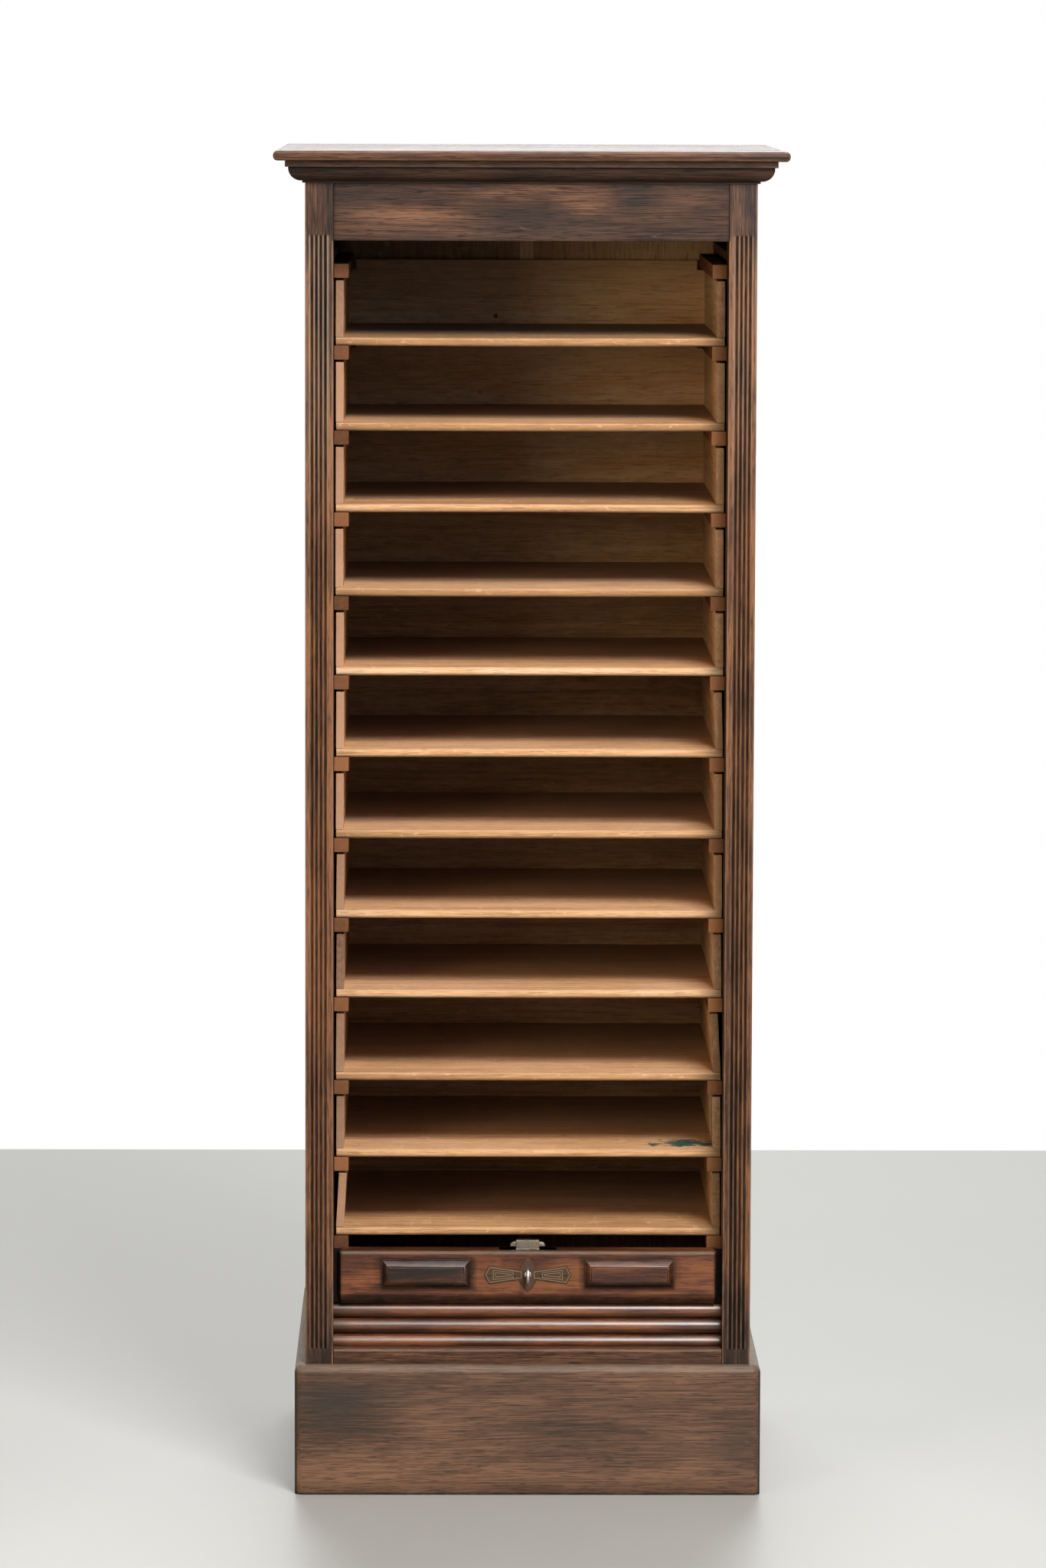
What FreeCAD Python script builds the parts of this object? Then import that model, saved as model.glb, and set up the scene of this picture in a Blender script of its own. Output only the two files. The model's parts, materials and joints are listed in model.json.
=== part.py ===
"""Tambour filing cabinet: an oak case with a roll shutter and twelve open trays.

The case stands on the XY plane with +Z up and its front towards -Y. The origin is
the middle of the footprint. Lengths are in millimetres.
"""
import FreeCAD, Part
import math
import os
import Sketcher

TRAY_COUNT = 12

# Driving sizes: alias, value, what it measures
SIZES = [
    ("tray_width", 396.5, "outer width of a tray"),
    ("tray_depth", 357, "depth of a tray"),
    ("tray_pitch", 83.5, "height from one tray to the next"),
    ("tray_play", 1.5, "side clearance of a tray"),
    ("tray_setback", 44, "tray noses behind the stile faces"),
    ("tray_back_play", 4, "gap between a tray and the inner back"),
    ("tray_bottom_thick", 8.5, "tray bottom board"),
    ("tray_nose_round", 3.6, "rounding of the tray's front edge"),
    ("tray_wall_thick", 8, "tray sides and back"),
    ("tray_wall_play", 2.5, "tray sides under the runners above"),
    ("tray_wall_setback", 2.5, "tray sides behind the nose"),
    ("tray_back_rise", 10.5, "tray back above the sides"),
    ("tray_notch_play", 1.4, "room beside a runner in the tray back's corner"),
    ("runner_width", 15, "runner bar across"),
    ("runner_height", 14.5, "runner bar height"),
    ("stile_width", 28.5, "front and rear stile across the front"),
    ("stile_depth", 60, "front stile along the side"),
    ("rear_stile_depth", 50, "rear stile along the side"),
    ("reed_groove_width", 3.4, "V groove between reeds, across"),
    ("reed_groove_depth", 1.5, "V groove between reeds, deep"),
    ("reed_groove_angle", 45, "slope of the V groove's walls"),
    ("reed_pitch", 4.5, "one reed to the next"),
    ("reed_inset", 5.2, "outer edge of the stile to the first groove"),
    ("reed_foot", 13, "plain stile above the plinth"),
    ("reed_head", 50, "plain stile beside the frieze"),
    ("side_rail_thick", 24, "side rail thickness"),
    ("side_rail_height", 60, "top and middle side rail height"),
    ("lower_rail_height", 190, "lower side rail height, from the floor"),
    ("head_batten_height", 9, "batten over the top runner, high"),
    ("head_batten_lift", 3.5, "batten above the top runner"),
    ("panel_thick", 9, "side and back panel thickness"),
    ("panel_recess", 8, "side panel behind the frame's face"),
    ("panel_tongue", 6, "panel edge held in the frame"),
    ("panel_fit", 0.2, "clearance round a panel edge"),
    ("plinth_height", 134.5, "plinth board height"),
    ("plinth_thick", 11, "plinth board thickness"),
    ("plinth_round", 8, "plinth rounding"),
    ("sill_thick", 16, "sill thickness"),
    ("sill_show", 15.5, "sill above the plinth"),
    ("sill_hidden", 60, "sill behind the plinth"),
    ("sill_bevel", 4.5, "bevel on the sill's top edge"),
    ("frieze_height", 58, "frieze height that shows"),
    ("frieze_thick", 14, "frieze thickness"),
    ("head_thick", 30, "head rail thickness"),
    ("head_gap", 23.3, "frieze above the top runners"),
    ("cornice_height", 22.5, "cornice height"),
    ("cornice_foot", 2.7, "lower fillet of the cornice, out"),
    ("cornice_foot_height", 2.2, "lower fillet of the cornice, high"),
    ("cornice_quirk", 1.8, "step between fillet and ovolo"),
    ("cornice_ovolo_out", 16.6, "ovolo's upper end, out"),
    ("cornice_ovolo_top", 16.2, "ovolo's upper end, high"),
    ("cornice_ovolo_radius", 13, "ovolo radius"),
    ("cornice_out", 19.8, "upper fillet of the cornice, out"),
    ("top_thick", 10, "top board thickness"),
    ("top_overhang", 31.5, "top board past the stiles"),
    ("top_rear_overhang", 8, "top board past the back"),
    ("top_round", 4.4, "rounding of the top board"),
    ("inner_back_thick", 8, "inner back thickness"),
    ("back_strip_width", 15, "centre strip of the inner back, across"),
    ("back_strip_thick", 2.5, "centre strip of the inner back, thick"),
    ("channel_width", 17, "space for the stored shutter"),
    ("back_thick", 20, "back frame thickness"),
    ("back_member", 55, "back frame stile and rail width"),
    ("base_board_thick", 8, "base board thickness"),
    ("base_board_height", 126, "base board underside from the floor"),
    ("base_board_hold", 8, "base board let into the lower rails"),
    ("groove_setback", 18.5, "shutter groove behind the stile faces"),
    ("groove_width", 11, "shutter groove across"),
    ("groove_depth", 9, "shutter groove into the stiles"),
    ("bend_radius", 65, "shutter bend, at the middle of the slats"),
    ("run_height", 38, "lower run of the shutter above the floor"),
    ("slat_pitch", 16.7, "one slat to the next"),
    ("slat_gap", 0.6, "gap between slats"),
    ("slat_thick", 9, "slat thickness"),
    ("slat_edge", 2.5, "straight edge of a slat before its round face"),
    ("slat_end_play", 1, "clearance at a slat's end"),
    ("canvas_thick", 0.8, "canvas thickness"),
    ("canvas_inset", 25, "canvas edge from the opening's side"),
    ("lock_rail_stand", 45, "lock rail above the sill when open"),
    ("lock_rail_height", 55, "lock rail height"),
    ("lock_rail_thick", 24, "lock rail thickness"),
    ("lock_rail_setback", 12, "lock rail behind the stile faces"),
    ("lock_rail_end_gap", 7.5, "lock rail face to the stile"),
    ("lock_rail_bevel", 9, "lower bevel of the lock rail, high"),
    ("lock_rail_bevel_in", 4.5, "lower bevel of the lock rail, deep"),
    ("lock_rail_top_round", 2, "rounding of the lock rail's top edge"),
    ("lock_rail_end_bevel", 3, "bevel down the ends of the lock rail's face"),
    ("tray_rail_gap", 10.2, "lowest tray above the lock rail"),
    ("grip_width", 92, "grip across"),
    ("grip_height", 30, "grip height"),
    ("grip_step", 1.6, "flat foot of a grip"),
    ("grip_rise", 5.4, "bevelled part of a grip"),
    ("grip_slope", 4.5, "bevel of a grip, across"),
    ("grip_quirk", 0.9, "step round the field of a grip"),
    ("grip_field", 1.6, "field of a grip above its bevel"),
    ("grip_spread", 104.5, "grip centre from the middle"),
    ("grip_lift", 4, "grip centre above the rail's middle"),
    ("plate_thick", 1.2, "escutcheon plate"),
    ("plate_half", 45, "escutcheon tip from its middle"),
    ("plate_shoulder", 40, "escutcheon wing's outer shoulder"),
    ("plate_outer", 20.6, "wing height at the shoulder"),
    ("plate_inner", 14.6, "wing height at the centre"),
    ("plate_lobe_width", 19, "escutcheon centre lobe across"),
    ("plate_lobe_height", 35, "escutcheon centre lobe height"),
    ("pin_radius", 1.6, "escutcheon pin head radius"),
    ("pin_rise", 1, "escutcheon pin head height"),
    ("pin_outer", 39, "outer pins from the middle"),
    ("pin_inner", 13.5, "inner pins from the middle"),
    ("plate_mid", 30.5, "escutcheon middle above the lock rail's bottom"),
    ("key_height", 33, "key axis above the lock rail's bottom"),
    ("key_radius", 2.6, "key shank radius"),
    ("key_play", 0.35, "clearance round the key shank"),
    ("key_reach", 13, "key shank in front of the lock rail"),
    ("key_bow_radius", 9.3, "key bow, outside"),
    ("key_bow_hole", 5.8, "key bow, inside"),
    ("key_bow_thick", 3.2, "key bow thickness"),
    ("key_bow_bite", 1.2, "key shank into the bow"),
    ("key_bit_out", 6.5, "key bit from the axis"),
    ("key_bit_long", 5, "key bit along the shank"),
    ("key_bit_thick", 2.2, "key bit thickness"),
    ("chamber_radius", 8, "room for the key bit in the lock"),
    ("lock_width", 60, "lock case across"),
    ("lock_height", 44, "lock case height"),
    ("lock_thick", 16, "lock case thickness"),
    ("lock_fit", 0.2, "clearance round the lock case"),
    ("post_width", 24, "lock post across"),
    ("post_thick", 9, "lock post thickness"),
    ("post_height", 9, "lock post above the rail"),
    ("post_wall", 1.6, "lock post walls"),
    ("claw_low", 2.4, "claw above the rail"),
    ("claw_height", 4.8, "claw height"),
    ("claw_reach", 18, "claw tip from the middle at rest"),
    ("claw_length", 17, "claw length"),
    ("claw_round", 4, "claw tip rounding"),
    ("claw_travel", 7, "claw throw"),
    ("claw_play", 0.3, "clearance round a claw"),
    ("strike_width", 66, "strike plate across"),
    ("strike_depth", 15, "strike plate front to back"),
    ("strike_thick", 1.5, "strike plate thickness"),
    ("strike_play", 2.5, "strike slot past the claw tips"),
    ("pocket_height", 14, "room over the strike plate"),
    ("stop_height", 20, "tail stop strip height"),
    ("stop_gap", 0.3, "tail stop above the last slat"),
    ("joint_gap", 0.1, "hairline between joined boards"),
    ("runner_lift_00", -1.5, "top pair of runners off the even spacing"),
    ("runner_lift_01", -1, "runners of tray 1 off the even spacing"),
    ("runner_lift_02", -4, "runners of tray 2 off the even spacing"),
    ("runner_lift_03", -4, "runners of tray 3 off the even spacing"),
    ("runner_lift_04", -6, "runners of tray 4 off the even spacing"),
    ("runner_lift_05", -4, "runners of tray 5 off the even spacing"),
    ("runner_lift_06", -4.5, "runners of tray 6 off the even spacing"),
    ("runner_lift_07", -4.5, "runners of tray 7 off the even spacing"),
    ("runner_lift_08", -3.5, "runners of tray 8 off the even spacing"),
    ("runner_lift_09", -2.5, "runners of tray 9 off the even spacing"),
    ("runner_lift_10", -5, "runners of tray 10 off the even spacing"),
    ("runner_lift_11", -1.5, "runners of tray 11 off the even spacing"),
    ("runner_lift_12", 0, "runners of tray 12 off the even spacing"),
    ("tray_shift_01", 0, "tray 1 moved sideways"),
    ("tray_shift_02", 0.2, "tray 2 moved sideways"),
    ("tray_shift_03", 0, "tray 3 moved sideways"),
    ("tray_shift_04", -0.2, "tray 4 moved sideways"),
    ("tray_shift_05", 0.3, "tray 5 moved sideways"),
    ("tray_shift_06", 0.4, "tray 6 moved sideways"),
    ("tray_shift_07", 0.2, "tray 7 moved sideways"),
    ("tray_shift_08", 0.5, "tray 8 moved sideways"),
    ("tray_shift_09", 0.6, "tray 9 moved sideways"),
    ("tray_shift_10", 0.3, "tray 10 moved sideways"),
    ("tray_shift_11", 0.7, "tray 11 moved sideways"),
    ("tray_shift_12", 0.5, "tray 12 moved sideways"),
]

# Places worked out from the driving sizes: alias, formula
PLACES = [
    ("opening_half", "dims.tray_width / 2 + dims.tray_play"),
    ("case_half", "opening_half + dims.stile_width"),
    ("inner_back_y", "dims.tray_setback + dims.tray_depth + dims.tray_back_play"),
    ("channel_y", "inner_back_y + dims.inner_back_thick"),
    ("back_y", "channel_y + dims.channel_width"),
    ("case_depth", "back_y + dims.back_thick"),
    ("top_depth", "dims.top_overhang + case_depth + dims.top_rear_overhang"),
    ("face", "dims.top_overhang - top_depth / 2"),
    ("rear_stile_y", "case_depth - dims.rear_stile_depth"),
    ("sill_top", "dims.plinth_height + dims.sill_show"),
    ("rail_low", "sill_top + dims.lock_rail_stand"),
    ("rail_top", "rail_low + dims.lock_rail_height"),
    ("first_tray", "rail_top + dims.tray_rail_gap"),
    ("frieze_low", f"first_tray + {TRAY_COUNT} * dims.tray_pitch + dims.head_gap"),
    ("stile_top", "frieze_low + dims.frieze_height"),
    ("post_top", "stile_top + dims.cornice_height"),
    ("groove_mid", "dims.groove_setback + dims.groove_width / 2"),
    ("store_mid", "channel_y + dims.channel_width / 2"),
    ("bend_height", "dims.run_height + dims.bend_radius"),
    ("slat_half", "opening_half + dims.groove_depth - dims.slat_end_play"),
    ("slat_height", "dims.slat_pitch - dims.slat_gap"),
    ("rail_half", "opening_half - dims.lock_rail_end_gap"),
    ("plate_z", "rail_low + dims.plate_mid"),
    ("key_z", "rail_low + dims.key_height"),
    ("lock_back", "dims.lock_rail_setback + dims.lock_rail_thick"),
    ("upper_panel_low", "(dims.lower_rail_height + stile_top) / 2"),
]


def make_sheet(name, rows, prefix=""):
    """A spreadsheet with one named cell per row; places use formulas."""
    made = doc.addObject("Spreadsheet::Sheet", name)
    for number, (alias, value, *note) in enumerate(rows, start=1):
        made.set(f"A{number}", note[0] if note else alias.replace("_", " "))
        made.set(f"B{number}", prefix + str(value))
        made.setAlias(f"B{number}", alias)
    doc.recompute()
    return made


doc = FreeCAD.newDocument("tambour_filing_cabinet")
dims = make_sheet("dims", SIZES)
place = make_sheet("place", PLACES, "=")
nodes = {}


def value(expression):
    """The number that an expression of the two sheets stands for."""
    found = dims.evalExpression(expression)
    return float(getattr(found, "Value", found))


def bind(obj, **expressions):
    """Tie properties of an object to expressions; at=(x, y, z) ties its place."""
    for axis, expression in zip("xyz", expressions.pop("at", ())):
        obj.setExpression(f"Placement.Base.{axis}", expression)
    for prop, expression in expressions.items():
        obj.setExpression(prop, expression)
    return obj


def node(obj, name):
    """Mark an object as a sub-part with a file of its own."""
    obj.Label = name
    nodes[name] = obj
    return obj


def block(name, x, y, z, across, deep, high):
    """A board with its low corner at x, y, z; y counts from the stile faces."""
    made = doc.addObject("Part::Box", name)
    return bind(made, at=(x, f"place.face + {y}", z), Length=across, Width=deep, Height=high)


def wide_block(name, half, y, z, deep, high):
    """A board centred across the case."""
    return block(name, f"-({half})", y, z, f"2 * ({half})", deep, high)


def rod(name, radius, x, y, z, long):
    """A round bar that runs from y towards the back."""
    made = doc.addObject("Part::Cylinder", name)
    made.Placement.Rotation = FreeCAD.Rotation(FreeCAD.Vector(1, 0, 0), -90)
    return bind(made, at=(x, f"place.face + {y}", z), Radius=radius, Height=long)


def fuse(name, shapes):
    made = doc.addObject("Part::MultiFuse", name)
    made.Shapes = shapes
    return made


def cut(name, base, tool):
    made = doc.addObject("Part::Cut", name)
    made.Base = base
    made.Tool = tool
    return made


def group(name, shapes):
    """Several separate solids that share one node."""
    made = doc.addObject("Part::Compound", name)
    made.Links = shapes
    return made


def mirrored(name, source):
    """The right-hand twin of a left-hand piece."""
    made = doc.addObject("Part::Mirroring", name)
    made.Source = source
    made.Normal = FreeCAD.Vector(1, 0, 0)
    return made


def both_sides(name, left):
    """Nodes for a left-hand piece and its twin."""
    node(left, f"left_{name}")
    node(mirrored(f"right_{name}_twin", left), f"right_{name}")


def body_block(name, x, y, z, across, deep, high):
    """A board as a body, so that its edges can be worked."""
    body = doc.addObject("PartDesign::Body", name)
    bind(body, at=(x, f"place.face + {y}", z))
    base = body.newObject("PartDesign::AdditiveBox", f"{name}_blank")
    bind(base, Length=across, Width=deep, Height=high)
    doc.recompute()
    return body


def work_edges(body, kind, size, wanted):
    """Round or bevel the edges of a body whose middle and direction pass a test."""
    base = body.Tip
    picked = []
    for number, edge in enumerate(base.Shape.Edges, start=1):
        middle = edge.CenterOfMass
        direction = edge.tangentAt(edge.FirstParameter)
        if wanted(middle, direction):
            picked.append(f"Edge{number}")
    worked = body.newObject(f"PartDesign::{kind}", f"{body.Name}_{kind.lower()}")
    worked.Base = (base, picked)
    prop = "Radius" if kind == "Fillet" else "Size"
    bind(worked, **{prop: size})
    body.Tip = worked
    doc.recompute()
    return body


def near(a, b):
    return abs(a - b) < 0.01


def sketch_on(body, role):
    """A sketch on one of a body's own planes."""
    plane = next(f for f in body.Origin.OriginFeatures if f.Role == role)
    sketch = body.newObject("Sketcher::SketchObject", f"{body.Name}_{role.lower()}")
    sketch.AttachmentSupport = (plane, "")
    sketch.MapMode = "FlatFace"
    return sketch


def pin_point(sketch, geometry, end, expressions):
    """Tie one end of a line or arc to a place measured from the sketch's origin."""
    for kind, expression in zip(("DistanceX", "DistanceY"), expressions):
        size = value(expression)
        if abs(size) < 1e-6:
            axis = -2 if kind == "DistanceX" else -1
            sketch.addConstraint(Sketcher.Constraint("PointOnObject", geometry, end, axis))
            continue
        ends = (-1, 1, geometry, end) if size > 0 else (geometry, end, -1, 1)
        index = sketch.addConstraint(Sketcher.Constraint(kind, *ends, abs(size)))
        sketch.setExpression(f"Constraints[{index}]", expression if size > 0 else f"-({expression})")


def outline(sketch, points):
    """A closed outline through points (u, v) or (u, v, radius): a radius bends the
    run that starts there into an arc, to its left where the radius is positive."""
    first = sketch.GeometryCount
    count = len(points)
    places = [FreeCAD.Vector(value(p[0]), value(p[1]), 0) for p in points]
    for n, point in enumerate(points):
        start, end = places[n], places[(n + 1) % count]
        if len(point) == 2:
            sketch.addGeometry(Part.LineSegment(start, end))
            continue
        radius = value(point[2])
        chord = end - start
        left = FreeCAD.Vector(-chord.y, chord.x, 0).normalize()
        rise = math.sqrt(radius ** 2 - (chord.Length / 2) ** 2)
        side = 1 if radius > 0 else -1
        centre = (start + end) / 2 + left * rise * side
        tip = centre - left * abs(radius) * side
        sketch.addGeometry(Part.Arc(start, tip, end))
    for n, point in enumerate(points):
        here = first + n
        curved = len(point) == 3
        backwards = curved and value(point[2]) < 0
        pin_point(sketch, here, 2 if backwards else 1, point[:2])
        beyond = points[(n + 1) % count]
        pin_point(sketch, here, 1 if backwards else 2, beyond[:2])
        if curved:
            index = sketch.addConstraint(Sketcher.Constraint("Radius", here, abs(value(point[2]))))
            sign = "-" if backwards else ""
            sketch.setExpression(f"Constraints[{index}]", f"{sign}({point[2]})")
    doc.recompute()
    return sketch


def bar(name, role, points, long, at, midplane=False):
    """A body made by drawing an outline out along the plane's normal."""
    body = doc.addObject("PartDesign::Body", name)
    x, y, z = at
    bind(body, at=(x, f"place.face + {y}", z))
    drawn = body.newObject("PartDesign::Pad", f"{name}_pad")
    drawn.Profile = outline(sketch_on(body, role), points)
    drawn.Midplane = midplane
    bind(drawn, Length=long)
    body.Tip = drawn
    doc.recompute()
    return body


def rectangle(x, z, across, high):
    """The four corners of a rectangle, as expressions."""
    right, top = f"({x}) + {across}", f"({z}) + {high}"
    return [(x, z), (right, z), (right, top), (x, top)]


# The track that the shutter runs in: front run, bend, lower run, bend, rear run
def bend_ring(name, y):
    """A quarter of a ring, as wide as the groove, about a bend's centre."""
    sector = []
    for end, sign in (("outer", "+"), ("inner", "-")):
        made = doc.addObject("Part::Cylinder", f"{name}_{end}")
        made.Angle = 90
        bind(made, Radius=f"dims.bend_radius {sign} dims.groove_width / 2", Height="dims.groove_depth")
        sector.append(made)
    ring = cut(name, *sector)
    bind(ring, at=("-place.opening_half", f"place.face + {y}", "place.bend_height"))
    return ring


def left_cutters():
    """Everything let into the inner faces and edges of the left side's members."""
    deep = "dims.groove_depth"
    wide = "dims.groove_width"
    inner = f"-place.opening_half - {deep}"
    half = "dims.groove_width / 2"
    front_bend = bend_ring("front_bend", "place.groove_mid + dims.bend_radius")
    front_bend.Placement.Rotation = FreeCAD.Rotation(
        FreeCAD.Vector(0, 0, -1), FreeCAD.Vector(0, -1, 0), FreeCAD.Vector(-1, 0, 0), "ZXY")
    rear_bend = bend_ring("rear_bend", "place.store_mid - dims.bend_radius")
    rear_bend.Placement.Rotation = FreeCAD.Rotation(
        FreeCAD.Vector(0, 1, 0), FreeCAD.Vector(0, 0, -1), FreeCAD.Vector(-1, 0, 0), "ZXY")
    tall = "place.frieze_low - place.bend_height"
    front_run = block("front_run", inner, f"place.groove_mid - {half}", "place.bend_height", deep, wide, tall)
    rear_run = block("rear_run", inner, f"place.store_mid - {half}", "place.bend_height", deep, wide, tall)
    low_run = block(
        "low_run", inner, "place.groove_mid + dims.bend_radius", f"dims.run_height - {half}",
        deep, "place.store_mid - place.groove_mid - 2 * dims.bend_radius", wide)
    shelf = block(
        "base_board_slot", "-place.opening_half - dims.base_board_hold", "dims.stile_depth",
        "dims.base_board_height", "dims.base_board_hold",
        "place.rear_stile_y - dims.stile_depth", "dims.base_board_thick")
    slots = [panel_block(f"panel_slot_{n}", n, "dims.panel_fit") for n in range(2)]
    return fuse("left_side_cutters", [front_run, front_bend, low_run, rear_bend, rear_run, shelf, *slots])


def panel_block(name, level, grow):
    """A side panel of the left side, or the slot that it sits in when grown."""
    low = ("dims.lower_rail_height", "place.upper_panel_low + dims.side_rail_height / 2")[level]
    high = (
        "place.upper_panel_low - dims.side_rail_height / 2",
        "place.stile_top - dims.side_rail_height")[level]
    edge = f"(dims.panel_tongue + {grow})"
    return block(
        name, f"-place.case_half + dims.panel_recess - {grow}", f"dims.stile_depth - {edge}",
        f"{low} - {edge}", f"dims.panel_thick + 2 * {grow}",
        f"place.rear_stile_y - dims.stile_depth + 2 * {edge}", f"{high} - ({low}) + 2 * {edge}")


def reeded_stile():
    """A front stile with four stopped V grooves that leave three reeds."""
    body = body_block(
        "front_stile_blank", "-place.case_half", "0", "0", "dims.stile_width", "dims.stile_depth",
        "place.post_top")
    sketch = sketch_on(body, "XZ_Plane")
    low = "dims.plinth_height + dims.reed_foot"
    high = "place.stile_top - dims.reed_head"
    for n in range(4):
        x = f"dims.reed_inset + {n} * dims.reed_pitch"
        outline(sketch, rectangle(x, low, "dims.reed_groove_width", f"({high}) - ({low})"))
    before = body.Shape.Volume
    pocket = body.newObject("PartDesign::Pocket", "reed_grooves")
    pocket.Profile = sketch
    bind(pocket, Length="dims.reed_groove_depth", TaperAngle="-dims.reed_groove_angle")
    body.Tip = pocket
    doc.recompute()
    if body.Shape.Volume >= before:
        raise RuntimeError("the reed grooves cut nothing")
    return body


def sides():
    """The two framed sides, which also hold the shutter's track."""
    cutters = left_cutters()
    both_sides("front_stile", cut("left_front_stile_cut", reeded_stile(), cutters))
    between = "place.rear_stile_y - dims.stile_depth"
    lower = block(
        "lower_side_rail", "-place.case_half", "dims.stile_depth", "0", "dims.stile_width", between,
        "dims.lower_rail_height")
    both_sides("track_rail", cut("left_track_rail_cut", lower, cutters))
    members = [block(
        "rear_stile", "-place.case_half", "place.rear_stile_y", "0", "dims.stile_width",
        "dims.rear_stile_depth", "place.post_top")]
    for name, low in (
            ("middle_side_rail", "place.upper_panel_low - dims.side_rail_height / 2"),
            ("top_side_rail", "place.stile_top - dims.side_rail_height")):
        high = "dims.side_rail_height" if name.startswith("middle") else f"place.post_top - ({low})"
        members.append(block(
            name, "-place.case_half", "dims.stile_depth", low, "dims.side_rail_thick",
            f"{between} - dims.joint_gap", high))
    members.append(block(
        "head_batten", "-place.case_half + dims.panel_recess + dims.panel_thick + dims.joint_gap",
        "dims.stile_depth + dims.joint_gap", f"{tray_level(0)} + dims.head_batten_lift",
        "dims.stile_width - dims.panel_recess - dims.panel_thick - dims.joint_gap",
        f"{between} - 2 * dims.joint_gap", "dims.head_batten_height"))
    both_sides("side_frame", group(
        "left_side_frame_group", [cut(f"{m.Name}_cut", m, cutters) for m in members]))
    both_sides("side_panels", group(
        "left_side_panel_group", [panel_block(f"side_panel_{n}", n, "0") for n in range(2)]))


def front_members():
    """Frieze, head rail, sill and plinth."""
    node(wide_block(
        "frieze", "place.opening_half", "0", "place.frieze_low", "dims.frieze_thick",
        "place.post_top - place.frieze_low"), "top_rail")
    head = wide_block(
        "head_blank", "place.opening_half", "dims.frieze_thick", "place.frieze_low", "dims.head_thick",
        "place.post_top - place.frieze_low")
    middle = "(place.lock_back - dims.lock_thick / 2)"
    plate = wide_block(
        "strike_recess", "dims.strike_width / 2", f"{middle} - dims.strike_depth / 2", "place.frieze_low",
        "dims.strike_depth", "dims.strike_thick")
    claw_room = wide_block(
        "claw_room", "dims.claw_reach + dims.claw_travel + dims.strike_play",
        f"{middle} - dims.post_thick / 2 - dims.strike_play / 2", "place.frieze_low",
        "dims.post_thick + dims.strike_play", "dims.pocket_height")
    node(cut("head_rail_cut", head, fuse("head_cutters", [plate, claw_room])), "head_rail")
    strike = wide_block(
        "strike_blank", "dims.strike_width / 2", f"{middle} - dims.strike_depth / 2", "place.frieze_low",
        "dims.strike_depth", "dims.strike_thick")
    slot = wide_block(
        "strike_slot", "dims.claw_reach + dims.strike_play",
        f"{middle} - dims.post_thick / 2 - dims.strike_play / 2", "place.frieze_low",
        "dims.post_thick + dims.strike_play", "dims.strike_thick")
    node(cut("strike_cut", strike, slot), "strike_plate")
    sill = body_block(
        "sill_body", "-place.opening_half", "0", "place.sill_top - dims.sill_show - dims.sill_hidden",
        "2 * place.opening_half", "dims.sill_thick", "dims.sill_show + dims.sill_hidden")
    top = value("dims.sill_show + dims.sill_hidden")
    node(work_edges(
        sill, "Chamfer", "dims.sill_bevel",
        lambda c, d: near(c.z, top) and near(c.y, 0)), "bottom_sill")


def plinth():
    """Plinth boards, rounded along the top and down the front corners."""
    half = "place.case_half + dims.plinth_thick"
    front = body_block(
        "plinth_front_body", f"-({half})", "-dims.plinth_thick", "0", f"2 * ({half})", "dims.plinth_thick",
        "dims.plinth_height")
    top, ends = value("dims.plinth_height"), (0, value(f"2 * ({half})"))

    def rounded(c, d):
        at_end = near(c.x, ends[0]) or near(c.x, ends[1])
        along_top = near(c.z, top) and (near(c.y, 0) or at_end)
        return along_top or (abs(d.z) > 0.9 and near(c.y, 0))

    node(work_edges(front, "Fillet", "dims.plinth_round", rounded), "plinth_front")
    left = body_block(
        "plinth_left_body", f"-({half})", "0", "0", "dims.plinth_thick", "place.case_depth",
        "dims.plinth_height")
    work_edges(left, "Fillet", "dims.plinth_round", lambda c, d: near(c.z, top) and near(c.x, 0))
    node(group("plinth_side_group", [left, mirrored("plinth_right_twin", left)]), "plinth_sides")


def cornice():
    """Three mitred lengths of moulding under the top board."""
    foot, step = "-dims.cornice_foot", "dims.cornice_foot_height"
    section = [
        ("0", "0"), (foot, "0"), (foot, step),
        (f"{foot} - dims.cornice_quirk", step, "-dims.cornice_ovolo_radius"),
        ("-dims.cornice_ovolo_out", "dims.cornice_ovolo_top"),
        ("-dims.cornice_out", "dims.cornice_ovolo_top"),
        ("-dims.cornice_out", "dims.cornice_height"), ("0", "dims.cornice_height")]
    front = bar(
        "cornice_front", "YZ_Plane", section, "2 * (place.case_half + dims.cornice_out)",
        ("0", "0", "place.stile_top"), midplane=True)
    left = bar(
        "cornice_left", "XZ_Plane", section, "place.case_depth + dims.cornice_out",
        ("-place.case_half", "place.case_depth", "place.stile_top"))
    mitres = []
    for name, turn in (("mitre_side", 135), ("mitre_front", 225)):
        wedge = block(
            name, "-place.case_half", "0", "place.stile_top", "3 * dims.cornice_out", "3 * dims.cornice_out",
            "dims.cornice_height")
        wedge.Placement.Rotation = FreeCAD.Rotation(FreeCAD.Vector(0, 0, 1), turn)
        mitres.append(wedge)
    ends = fuse("front_mitres", [mitres[0], mirrored("mitre_side_twin", mitres[0])])
    left_cut = cut("cornice_left_cut", left, mitres[1])
    right_cut = mirrored("cornice_right_twin", left_cut)
    node(group("cornice_group", [cut("cornice_front_cut", front, ends), left_cut, right_cut]), "cornice")


def top_board():
    half = "place.case_half + dims.top_overhang"
    board = body_block(
        "top_board_body", f"-({half})", "-dims.top_overhang", "place.post_top", f"2 * ({half})",
        "place.top_depth", "dims.top_thick")
    ends, rear = (0, value(f"2 * ({half})")), value("place.top_depth")

    def rounded(c, d):
        side = near(c.x, ends[0]) or near(c.x, ends[1])
        return (side or near(c.y, 0)) and abs(d.z) < 0.1 and not near(c.y, rear)

    node(work_edges(board, "Fillet", "dims.top_round", rounded), "top_board")


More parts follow.
